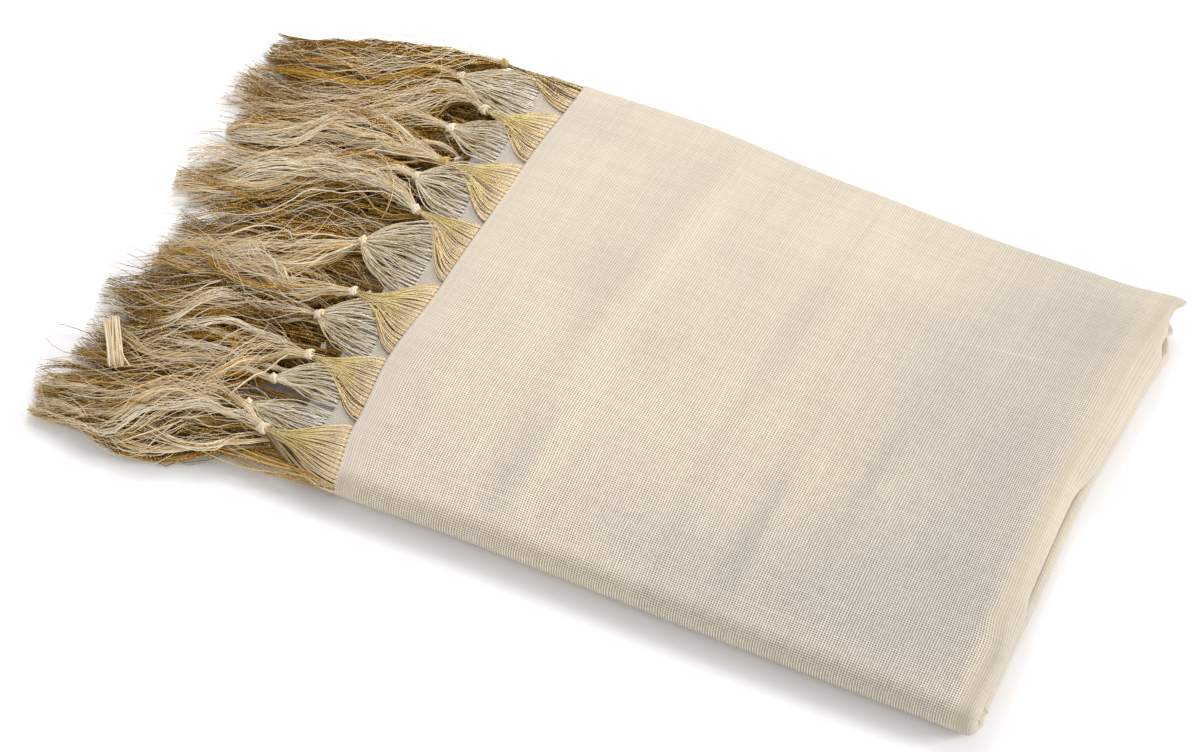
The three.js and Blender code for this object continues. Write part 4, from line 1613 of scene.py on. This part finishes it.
@dataclass
class Fringe:
    """The fringe: every tassel of the three ranks.

    Attributes:
        packet: the form that it hangs from.
        far_edge: where the cloth's far end stops.
        floor: the lowest that a fibre lies.
        tip: the farthest that a fibre reaches.
    """

    packet: Packet
    far_edge: float
    floor: float = 0.35 * MM
    tip: float = -294 * MM

    def lower_tassels(self) -> tuple[Tassel, ...]:
        """The tassels of the lower layers, spaced evenly along the underside's edge.

        Returns:
            The tassels, from the front to the back.
        """
        packet = self.packet
        start = packet.top_run + packet.front_run
        pitch = (packet.full_run - start) / LOWER_COUNT
        made = []
        for number in range(LOWER_COUNT):
            first = start + pitch * number
            middle = float(packet.left(first + pitch / 2, 0.0)[1]) / MM
            knot = ((-182, -186)[number % 2], middle)
            path = ((-200, middle - 1), (-225, middle - 8), (-250, middle - 19), (-270, middle - 26))
            made.append(Tassel(first / MM + 0.6, (first + pitch) / MM - 0.6, knot, path, LOWER_PALE))
        # The first one starts on the long rounded fold and reaches out to the front.
        made[0] = replace(made[0], start=244, path=FRONT_PATH, over=((6, -13), (11, -10)))
        return tuple(made)

    def between(self, tassel: Tassel, level: int) -> tuple[Tassel, RankStyle]:
        """A gathering of the layers between the top and the underside, over one lower tassel.

        Args:
            tassel: the lower tassel.
            level: 0 for the lower of two, 1 for the upper.

        Returns:
            It, and how it is made.
        """
        height = (5.6, 9.0)[level]
        ahead, shift = tassel.over[level]
        knot = (tassel.knot[0] + ahead, tassel.knot[1] + shift)
        path = ((-185, knot[1]), *((x, y + 0.7 * shift) for x, y in tassel.path))
        roof = ((-3, 0.6), (0, 0.8), (10, 2.0), (40, 1.0))
        style = replace(
            STYLES[Rank.LOWER],
            depth=(height - 0.6) * MM,
            knot_z=height * MM,
            fibres=112,
            locks=8,
            bed=((-3, height - 0.6), (0, height - 0.6), (10, 3.0), (40, 1.0)),
            roof=(*((at, height + more) for at, more in roof), (75, 5.5), (95, 2.5)),
        )
        return replace(tassel, knot=knot, path=path), style

    def root(self, rank: Rank, around: Array, depth: Array) -> Array:
        """Where threads leave the cloth.

        Args:
            rank: the rank of their tassel.
            around: their places, as distance round the packet.
            depth: how far they lie under its face.

        Returns:
            The points.
        """
        points = self.packet.left(around, depth)
        if rank is Rank.CREAM:
            points[..., 0] = self.far_edge
        points[..., 0] += 0.8 * MM
        return points

    def centre(self, style: RankStyle, tassel: Tassel) -> Array:
        """The middle of a tassel's knot."""
        return np.array([tassel.knot[0] * MM, tassel.knot[1] * MM, style.knot_z])

    def fan(self, rank: Rank, style: RankStyle, tassel: Tassel, rng: np.random.Generator) -> Bundle:
        """The threads that gather one stretch of edge into its knot.

        Args:
            rank: the tassel's rank.
            style: how it is made.
            tassel: the tassel.
            rng: where chance comes from.

        Returns:
            Their paths, radii and tones.
        """
        gold = rank is Rank.GOLD
        stretch = tassel.stop - tassel.start
        count = max(8, round(style.threads * stretch / USUAL_STRETCH))
        order = (np.arange(count) + 0.5) / count
        loose = 0.12 if gold else 0.4
        around = (tassel.start + stretch * order + rng.uniform(-loose, loose, count)) * MM
        # Two threads of every five make a second, deeper layer.
        deep = np.where(np.arange(count) % 5 < 2, 0.45 if gold else 1.0, 0.0)
        first = self.root(rank, around, style.depth + (deep + rng.uniform(-0.15, 0.1, count)) * MM)
        knot = self.centre(style, tassel)
        reach = first[:, 0] - knot[0]
        spread = first[:, 1] - knot[1]
        # Neighbours run together in threes before they reach the knot.
        bunch = rng.uniform(-1, 1, (3, count // 3 + 1))[:, np.arange(count) // 3]
        own = rng.uniform(-1, 1, (6, count))
        flat = np.zeros(count)
        # The gold ones close in early and then run along the tassel's line. The others stay wide.
        full, hold, rise, stray = (0.04, 0.52, 0.8, 0.6) if gold else (0.78, 0.34, 2.2, 2.0)
        # The lower a thread starts, the longer it hangs before it rises to the knot.
        low = np.clip((knot[2] - first[:, 2]) / (12 * MM), 0, 1)
        ahead = -(0.38 + 0.45 * low) * reach * (1 + 0.15 * own[0])
        second = first + np.stack([ahead, -0.03 * spread, flat], -1)
        third_x = reach * (hold * (1 - 0.6 * low) + 0.06 * bunch[0])
        third_y = full * spread + stray * MM * bunch[1]
        third_z = (rise + 0.6 * bunch[2]) * (1 - low) * MM - 3.0 * low * MM - 1.2 * deep * MM
        third = knot + np.stack([third_x, third_y, third_z], -1)
        squeezed = 0.8 * MM * np.tanh(spread / (9 * MM))
        fourth = knot + np.stack([flat - 1.0 * MM, squeezed, 0.6 * MM * own[1]], -1)
        share = np.linspace(0, 1, 12)[None, :]
        t = share[..., None]
        paths = (
            first[:, None] * (1 - t) ** 3
            + second[:, None] * 3 * t * (1 - t) ** 2
            + third[:, None] * 3 * t * t * (1 - t)
            + fourth[:, None] * t**3
        )
        swing = 0.3 if gold else 1.1
        bell = np.sin(math.pi * share)
        bend = own[2][:, None] + np.sin((2 + 1.2 * own[5][:, None]) * math.pi * share + own[3][:, None] * 3)
        paths[..., 1] += swing * MM * bell * bend
        paths[..., 2] += swing * MM * bell * (0.6 * own[4][:, None] + 0.4)
        paths[..., 2] = np.maximum(paths[..., 2], self.floor)
        flat_start = 1 + 0.35 * (1 - ease(share / 0.25))
        radii = style.thread_radius * flat_start * (1 - 0.2 * share) * rng.uniform(0.85, 1.15, (count, 1))
        # The lower rank's threads are painted darker, as painted shade under the ranks above, and the gold
        # threads of the deeper layer are painted darker, as painted shade under the upper ones.
        bright = {Rank.GOLD: 0.95 - 0.5 * order, Rank.CREAM: 0.58, Rank.LOWER: 0.42}[rank]
        tones = bright + tassel.shade * (1 - order) + 0.2 * rng.standard_normal(count) - 0.6 * gold * deep
        return paths, radii, np.clip(tones, 0.02, 0.98)

    def bed(self, tassel: Tassel, rng: np.random.Generator) -> Bundle:
        """The threads of the layers between, which show only in the gaps under the knots.

        Args:
            tassel: the lower tassel that they lie round.
            rng: where chance comes from.

        Returns:
            Their paths, radii and tones.
        """
        count = round(2 * (tassel.stop - tassel.start))
        around = rng.uniform(tassel.start, tassel.stop, count) * MM
        first = self.root(Rank.LOWER, around, np.full(count, 0.6 * MM))
        share = np.linspace(0, 1, 9)[None, :]
        level = rng.uniform(2.0, 12.0, (count, 1)) * MM
        turns = rng.uniform(4, 9, (2, count, 1))
        phase = rng.uniform(0, 2 * math.pi, (2, count, 1))
        drift = rng.uniform(-7, 7, (count, 1)) * MM
        x = first[:, :1] + (rng.uniform(-222, -196, (count, 1)) * MM - first[:, :1]) * share
        y = first[:, 1:2] + drift * share + 1.6 * MM * np.sin(turns[0] * share + phase[0])
        z = level * (1 - 0.45 * share) + 0.7 * MM * np.sin(turns[1] * share + phase[1])
        paths = np.stack([x, y, np.maximum(z, self.floor)], -1)
        radii = rng.uniform(0.22, 0.34, (count, 1)) * MM * np.ones((1, share.size))
        return paths, radii, rng.uniform(0.2, 0.66, count)

    def line(self, tassel: Tassel, pitch: float = 1 * MM) -> tuple[Array, Array]:
        """The middle line of a tail: a smooth curve through its points.

        Args:
            tassel: the tassel.
            pitch: the distance between the line's own points.

        Returns:
            The line's (x, y) points and each one's distance beyond the knot.
        """
        corners = np.array([(tassel.knot[0] + KNOT_LEAD, tassel.knot[1]), tassel.knot, *tassel.path]) * MM
        before = np.concatenate([[2 * corners[0] - corners[1]], corners[:-1]])
        after = np.concatenate([corners[1:], [2 * corners[-1] - corners[-2]]])
        slope = (after - before) / 2
        t = np.linspace(0, 1, 24, endpoint=False)[:, None]
        pieces = [
            a * (2 * t**3 - 3 * t**2 + 1)
            + slope_a * (t**3 - 2 * t**2 + t)
            + b * (3 * t**2 - 2 * t**3)
            + slope_b * (t**3 - t**2)
            for a, b, slope_a, slope_b in zip(corners, corners[1:], slope, slope[1:])
        ]
        drawn = np.concatenate([*pieces, corners[-1:]])
        walked = np.concatenate([[0], np.cumsum(np.linalg.norm(np.diff(drawn, axis=0), axis=1))])
        even = spaced(0, walked[-1], pitch)
        return follow(even, walked, drawn), even - KNOT_LEAD * MM

    def tail(self, style: RankStyle, tassel: Tassel, rng: np.random.Generator) -> Bundle:
        """The fibres beyond a knot, which keep together in wavy locks.

        Args:
            style: how the tassel is made.
            tassel: the tassel.
            rng: where chance comes from.

        Returns:
            Their paths, radii and tones.
        """
        line, distance = self.line(tassel)
        slope = np.gradient(line, axis=0)
        sideways = unit(np.stack([-slope[:, 1], slope[:, 0]], -1))
        count, locks = style.fibres, style.locks
        lock = rng.integers(0, locks, count)
        share = np.linspace(0, 1, style.points)[None, :]
        length = distance[-1] * (1.02 - 0.34 * rng.uniform(0, 1, count) ** 1.5)
        at = -2 * MM + (length[:, None] + 2 * MM) * share
        base = follow(at, distance, line)
        across = follow(at, distance, sideways)
        grow = ease(at / (24 * MM))

        def waves(long: float, short: float, height: float, by_lock: bool) -> Array:
            """A sideways swing along every fibre.

            Args:
                long, short: the longest and the shortest wave, in millimetres.
                height: how far it swings, in millimetres.
                by_lock: whether the fibres of a lock swing together.

            Returns:
                The swing at each point, in metres.
            """
            size = locks if by_lock else count
            turns = 2 * math.pi / (rng.uniform(short, long, size) * MM)
            phase = rng.uniform(0, 2 * math.pi, size)
            swing = height * MM * np.clip(0.6 + 0.5 * rng.standard_normal(size), 0.05, 1.8)
            if by_lock:
                turns, phase, swing = turns[lock], phase[lock], swing[lock]
            return swing[:, None] * np.sin(at * turns[:, None] + phase[:, None])

        # A few fibres stray far from the tail, and some leave their lock.
        stray = rng.uniform(0, 1, count) < 0.07
        lock_high = rng.uniform(0, 1, locks)
        free = np.where(rng.uniform(0, 1, count) < 0.13, 1.0, 0.0)
        drift = 0.05 * rng.standard_normal(locks)[lock] + (0.012 + 0.12 * free) * rng.standard_normal(count)
        gather = read(LOCK_SPREAD, at) * (1 + 1.6 * free[:, None])
        # Each lock wanders from one side of the tail to the other, so that locks cross.
        lock_turns = 2 * math.pi / (rng.uniform(100, 230, locks) * MM)
        lock_phase = rng.uniform(0, 2 * math.pi, locks)
        lock_side = rng.uniform(0.3, 1.0, locks)
        wander = np.cos(at * lock_turns[lock][:, None] + lock_phase[lock][:, None]) * lock_side[lock][:, None]
        flare = ease((share - 0.8) / 0.2)
        side = (
            read(style.wide, at) * wander
            + gather * np.clip(rng.standard_normal(count), -2, 2)[:, None]
            + np.maximum(at - 8 * MM, 0) * drift[:, None]
            + grow * waves(80, 44, 2.5, True)
            + grow * waves(38, 24, 1.25, True)
            + grow * (0.25 + free[:, None]) * waves(46, 22, 1.2, False)
            + grow * waves(17, 11, 0.2, False)
            + grow * np.where(stray, 1.0, 0.0)[:, None] * waves(80, 36, 4.2, False)
            + flare * rng.standard_normal(count)[:, None] * 1.7 * MM
        )
        high = np.clip(lock_high[lock] + (0.06 + 0.2 * free) * rng.standard_normal(count), 0, 1.05)
        high = np.where(stray, 0.95 + 0.3 * rng.uniform(0, 1, count), high)
        bed, roof = read(style.bed, at), read(style.roof, at)
        up = (
            bed
            + (roof - bed) * high[:, None]
            + grow * waves(80, 40, 2.0, True)
            + grow * waves(60, 30, 0.3, False)
            + grow * waves(22, 14, 0.14, False)
            + flare * np.abs(rng.standard_normal(count))[:, None] * 0.9 * MM
        )
        paths = np.concatenate([base + across * side[..., None], up[..., None]], -1)
        lowest = self.floor + rng.uniform(0, 0.5, count)[:, None] * MM
        paths[..., 2] = np.maximum(paths[..., 2], lowest)
        paths[..., 0] = np.maximum(paths[..., 0], self.tip + rng.uniform(0, 9, count)[:, None] * MM)
        paths = self.trimmed(paths, np.where(stray, 4.5, 0.5)[:, None] * MM)
        # The locks that lie high are the pale ones more often than those below.
        pale = rng.uniform(0, 1, locks) < (tassel.pale + 0.5 * (lock_high - 0.5))
        lock_tone = np.where(pale, rng.uniform(0.76, 0.98, locks), rng.uniform(0.08, 0.42, locks))
        # Fibres that lie low are painted darker, as painted shade under those above.
        tones = lock_tone[lock] + 0.06 * rng.standard_normal(count) - 0.14 * (1 - high) ** 2
        mixed = rng.uniform(0, 1, count) < 0.12
        tones = np.where(mixed, rng.uniform(0.15, 0.6, count), tones)
        tones = np.where(stray, 0.88, tones)
        thick = 0.2 * np.where(pale[lock] & ~mixed, 1.22, 1.0) * np.exp(0.28 * rng.standard_normal(count))
        radii = np.where(stray, 0.13, np.clip(thick, 0.12, 0.42))[:, None] * MM * (1 - 0.6 * share**4)
        return paths, radii, np.clip(tones, 0.01, 0.99)

    def wisps(self, style: RankStyle, tassel: Tassel, rng: np.random.Generator) -> Bundle:
        """Fine loose fibres that lie over a tail and cross it.

        Args:
            style: how the tassel is made.
            tassel: the tassel.
            rng: where chance comes from.

        Returns:
            Their paths, radii and tones.
        """
        count = 8
        steps = 5  # to either side of a wisp's middle
        line, distance = self.line(tassel)
        middle = rng.uniform(14, 74, count) * MM
        start = follow(middle, distance, line)
        ahead = follow(middle, distance, unit(np.gradient(line, axis=0)))
        aside = np.stack([-ahead[:, 1], ahead[:, 0]], -1)
        turn = rng.choice((-1, 1), count) * rng.uniform(0.2, 0.7, count)
        bend = -turn * rng.uniform(0.4, 1.5, count)
        reach = rng.uniform(14, 30, count) * MM
        t = np.linspace(-1, 1, 2 * steps + 1)
        angle = (turn[:, None] + bend[:, None] * t)[..., None]
        turned = ahead[:, None] * np.cos(angle) + aside[:, None] * np.sin(angle)
        walked = np.cumsum(turned * (reach[:, None] / steps)[..., None], axis=1)
        sideways = rng.uniform(-6, 6, (count, 1)) * MM
        flat = start[:, None] + walked - walked[:, steps : steps + 1] + (aside * sideways)[:, None]
        beyond = middle[:, None] + reach[:, None] * t
        lift = rng.uniform(-0.4, 1.0, (count, 1)) * MM + rng.uniform(0.4, 1.6, (count, 1)) * MM * (1 - t**2)
        up = np.maximum(read(style.roof, beyond) + lift, self.floor)
        paths = np.concatenate([flat, up[..., None]], -1)
        paths[..., 0] = np.clip(paths[..., 0], self.tip, -172 * MM)
        paths = self.trimmed(paths, np.full((count, 1), 1.5 * MM))
        radii = rng.uniform(0.1, 0.17, (count, 1)) * MM * (1 - 0.5 * np.abs(t) ** 3)
        return paths, radii, np.where(rng.uniform(0, 1, count) < 0.75, 0.86, 0.4)

    def trimmed(self, paths: Array, give: Array) -> Array:
        """Holds a tail's fibres inside the fringe's two long sides.

        Args:
            paths: (fibres, points, 3) the fibres.
            give: (fibres, 1) how far past the sides each may reach.

        Returns:
            The paths, turned back in where they reached too far.
        """
        # The back side counts a fibre's height too, because a high one stands out over the lower ones.
        front = read(FRONT_SIDE, paths[..., 0]) - give
        back = read(BACK_SIDE, paths[..., 0]) - HEIGHT_SHARE * paths[..., 2] + give
        soft = 1.0 * MM
        for limit, inward in ((front, 1), (back, -1)):
            inside = inward * (paths[..., 1] - limit)
            kept = np.hypot(np.where(inside < 0, 0.5, 1.0) * inside, soft)
            paths[..., 1] = limit + inward * kept - inward * 0.5 * soft
        return paths

    def knot(self, style: RankStyle, tassel: Tassel, rng: np.random.Generator) -> Bundle:
        """The wraps of a small knot pulled tight, and the band that crosses them.

        Args:
            style: how the tassel is made.
            tassel: the tassel.
            rng: where chance comes from.

        Returns:
            The paths, radii and tones of the two.
        """
        size = rng.uniform(1.0, 1.2) * MM
        t = np.linspace(0, 1, 34)
        along_knot = 2 * t - 1
        turn = 2 * math.pi * 2.5 * t + rng.uniform(0, 2 * math.pi)
        waist = 1.4 * (1 - 0.3 * along_knot**2)
        lengthwise = 1.2 * along_knot + 0.35 * np.sin(turn)
        wraps = np.stack([lengthwise, waist * np.cos(turn), waist * np.sin(turn)], -1)
        across = along_knot * rng.choice((-1, 1))
        over = 1.45 * across
        band = np.stack([1.35 * along_knot, 2.0 * np.sin(over), 2.0 * np.cos(over)], -1)
        lead = unit(np.array(tassel.path[0]) - np.array(tassel.knot))
        along = np.array([lead[0], lead[1], 0.0])
        aside = np.array([-lead[1], lead[0], 0.0])
        shaped = np.stack([wraps, band]) * size
        paths = shaped[..., :1] * along + shaped[..., 1:2] * aside
        paths[..., 2] += shaped[..., 2] + 0.2 * MM
        paths = paths + self.centre(style, tassel)
        paths[..., 2] = np.maximum(paths[..., 2], 1.0 * MM)
        tone = 0.03 if tassel.gilt else rng.uniform(0.5, 0.95)
        radii = np.stack([np.full(t.size, 0.74), 0.62 * (1 - 0.3 * across**2)]) * size
        return paths, radii, np.array([tone, tone])

    def straws(self, tassel: Tassel, rng: np.random.Generator) -> Bundle:
        """The stiff bunch of short fibres that lies across a tail.

        Args:
            tassel: the tassel.
            rng: where chance comes from.

        Returns:
            Their paths, radii and tones.
        """
        count = 40
        points = 7
        first, last = np.array(tassel.straws) * MM
        along = unit(last - first)
        across = np.array([-along[1], along[0]])
        side = rng.uniform(-3.0, 3.0, count) * MM
        t = np.linspace(-0.04, 1.04, points)[None, :, None]
        slip = rng.uniform(-1.8, 1.8, (count, 1, 1)) * MM
        flat = first + (last - first) * t + along * slip + across * side[:, None, None]
        flat = flat + across * rng.uniform(-0.9, 0.9, (count, 1, 1)) * MM * (2 * t - 1)
        # A few have come loose and point out to one side at the front.
        loose = (rng.uniform(0, 1, (count, 1, 1)) < 0.16) * rng.uniform(2, 6, (count, 1, 1)) * MM
        flat = flat + across * loose * np.maximum(0, t - 0.5) * 2
        level = rng.uniform(10.8, 12.6, (count, 1, 1)) * MM + 0.8 * MM * np.sin(math.pi * t)
        paths = np.concatenate([flat, level], -1)
        return paths, np.full((count, points), 0.4 * MM), rng.uniform(0.25, 0.6, count)

    def build(self, wardrobe: Wardrobe) -> list[bpy.types.Object]:
        """Makes and dresses every tassel: its gathered threads, its knot and its tail.

        Args:
            wardrobe: where their finishes come from.

        Returns:
            The pieces, one for each tassel.
        """
        made = []
        ranks = ((Rank.GOLD, GOLD_TASSELS), (Rank.CREAM, CREAM_TASSELS), (Rank.LOWER, self.lower_tassels()))
        for step, (rank, tassels) in enumerate(ranks):
            for number, tassel in enumerate(tassels):
                rng = np.random.default_rng(1000 * (1 + step) + number)
                strands = Strands()
                parts = [(tassel, STYLES[rank])]
                if rank is Rank.LOWER:
                    parts += [self.between(tassel, level) for level in (0, 1)]
                for part, style in parts:
                    strands.add(*self.fan(rank, style, part, rng), finish=0)
                    strands.add(*self.knot(style, part, rng), finish=1, sides=6)
                    strands.add(*self.tail(style, part, rng), finish=2)
                if rank is Rank.LOWER:
                    strands.add(*self.bed(tassel, rng), finish=2)
                else:
                    strands.add(*self.wisps(STYLES[rank], tassel, rng), finish=2)
                if tassel.straws:
                    strands.add(*self.straws(tassel, rng), finish=1, sides=4)
                node = f"{rank.value}_tassel_{number + 1}"
                piece = strands.make(node + "_threads")
                wardrobe.dress(piece, STYLES[rank].finish, Finish.KNOT, Finish.FIBRE)
                made.append(place(piece, STYLES[rank].slot, node))
        return made


# ---- Studio ----


@dataclass(frozen=True)
class Lamp:
    """A soft square lamp that points at the object.

    Attributes:
        name: its name.
        at: where it stands, in metres.
        size: the length of its sides.
        power: its power in watts.
    """

    name: str
    at: tuple[float, float, float]
    size: float
    power: float


@dataclass
class Studio:
    """The floor, the light and the camera.

    Attributes:
        target: what the camera and the lamps look at.
        distance: from the camera to it.
        azimuth, elevation: where the camera stands, in degrees.
        lens, sensor: its focal length and the width of its sensor, in millimetres.
        floor_half, floor_level: half the floor's width, and its height.
        sky, sky_strength: the colour and the strength of the light from all round.
        lamps: the lamps.
    """

    target: tuple[float, float, float] = (-70.5 * MM, -13.0 * MM, 0.0)
    distance: float = 1.567
    azimuth: float = 25.35
    elevation: float = 52.05
    lens: float = 112.0
    sensor: float = 36.0
    floor_half: float = 3.0
    floor_level: float = -0.2 * MM
    sky: Colour = (1.0, 0.99, 0.975, 1.0)
    sky_strength: float = 0.64
    lamps: tuple[Lamp, ...] = (
        Lamp("key", (-0.45, 0.66, 0.8), 0.55, 7.5),
        Lamp("low_key", (2.6, 0.84, 1.05), 1.1, 66.0),
        Lamp("front_fill", (0.3, -1.9, 0.9), 1.2, 6.0),
    )

    def link(self, name: str, data: bpy.types.ID, at: Vector, facing: Vector) -> bpy.types.Object:
        """Adds a camera or a lamp to the scene.

        Args:
            name: its name.
            data: the camera or the lamp.
            at: where it stands.
            facing: the direction that it faces.

        Returns:
            The object.
        """
        made = bpy.data.objects.new(name, data)
        made.location = at
        made.rotation_mode = "QUATERNION"
        made.rotation_quaternion = facing.to_track_quat("-Z", "Y")
        bpy.context.scene.collection.objects.link(made)
        return made

    def camera(self) -> None:
        """Makes the camera."""
        a, e = math.radians(self.azimuth), math.radians(self.elevation)
        back = Vector((math.sin(a) * math.cos(e), -math.cos(a) * math.cos(e), math.sin(e)))
        data = bpy.data.cameras.new("camera")
        data.lens = self.lens
        data.sensor_width = self.sensor
        data.clip_start = 0.05
        eye = self.link("camera", data, Vector(self.target) + back * self.distance, -back)
        bpy.context.scene.camera = eye

    def floor(self) -> None:
        """Makes the plain pale floor."""
        mesh = bpy.data.meshes.new("floor")
        half = self.floor_half
        corners = [(-half, -half), (half, -half), (half, half), (-half, half)]
        mesh.from_pydata([(x, y, self.floor_level) for x, y in corners], [], [(0, 1, 2, 3)])
        piece = bpy.data.objects.new("floor", mesh)
        bpy.context.scene.collection.objects.link(piece)
        shader = Shader("pale_floor")
        x, y, _ = shader.split(shader.node("ShaderNodeTexCoord", output="Object"))
        tone = shader.noise(x * 2.0, y * 2.0).step(0.2, 0.8)
        colour = shader.mix(tone, srgb(246, 246, 248), srgb(249, 249, 250))
        mesh.materials.append(shader.finish(Base_Color=colour, Roughness=0.9, Specular_IOR_Level=0.1))

    def light(self) -> None:
        """Sets the soft studio light."""
        scene = bpy.context.scene
        scene.view_settings.view_transform = "Standard"
        world = bpy.data.worlds.new("studio")
        world.use_nodes = True
        background = world.node_tree.nodes["Background"]
        background.inputs["Color"].default_value = self.sky
        background.inputs["Strength"].default_value = self.sky_strength
        scene.world = world
        for lamp in self.lamps:
            data = bpy.data.lights.new(lamp.name, "AREA")
            data.size = lamp.size
            data.energy = lamp.power
            self.link(lamp.name, data, Vector(lamp.at), Vector(self.target) - Vector(lamp.at))

    def build(self) -> None:
        """Makes the studio."""
        self.camera()
        self.floor()
        self.light()


def main() -> None:
    """Builds the dupatta and its studio."""
    logging.basicConfig(level=logging.INFO, format="%(name)s: %(message)s")
    Studio().build()
    wardrobe = Wardrobe()
    packet = Packet()
    outer = OuterLayer(packet).build(wardrobe)
    layers = StackedLayers(packet).build(wardrobe)
    far_end = FarEnd(packet)
    strip = far_end.build(wardrobe)
    ledge = far_end.ledge(wardrobe)
    fringe = Fringe(packet, far_end.edge).build(wardrobe)


if __name__ == "__main__":
    main()
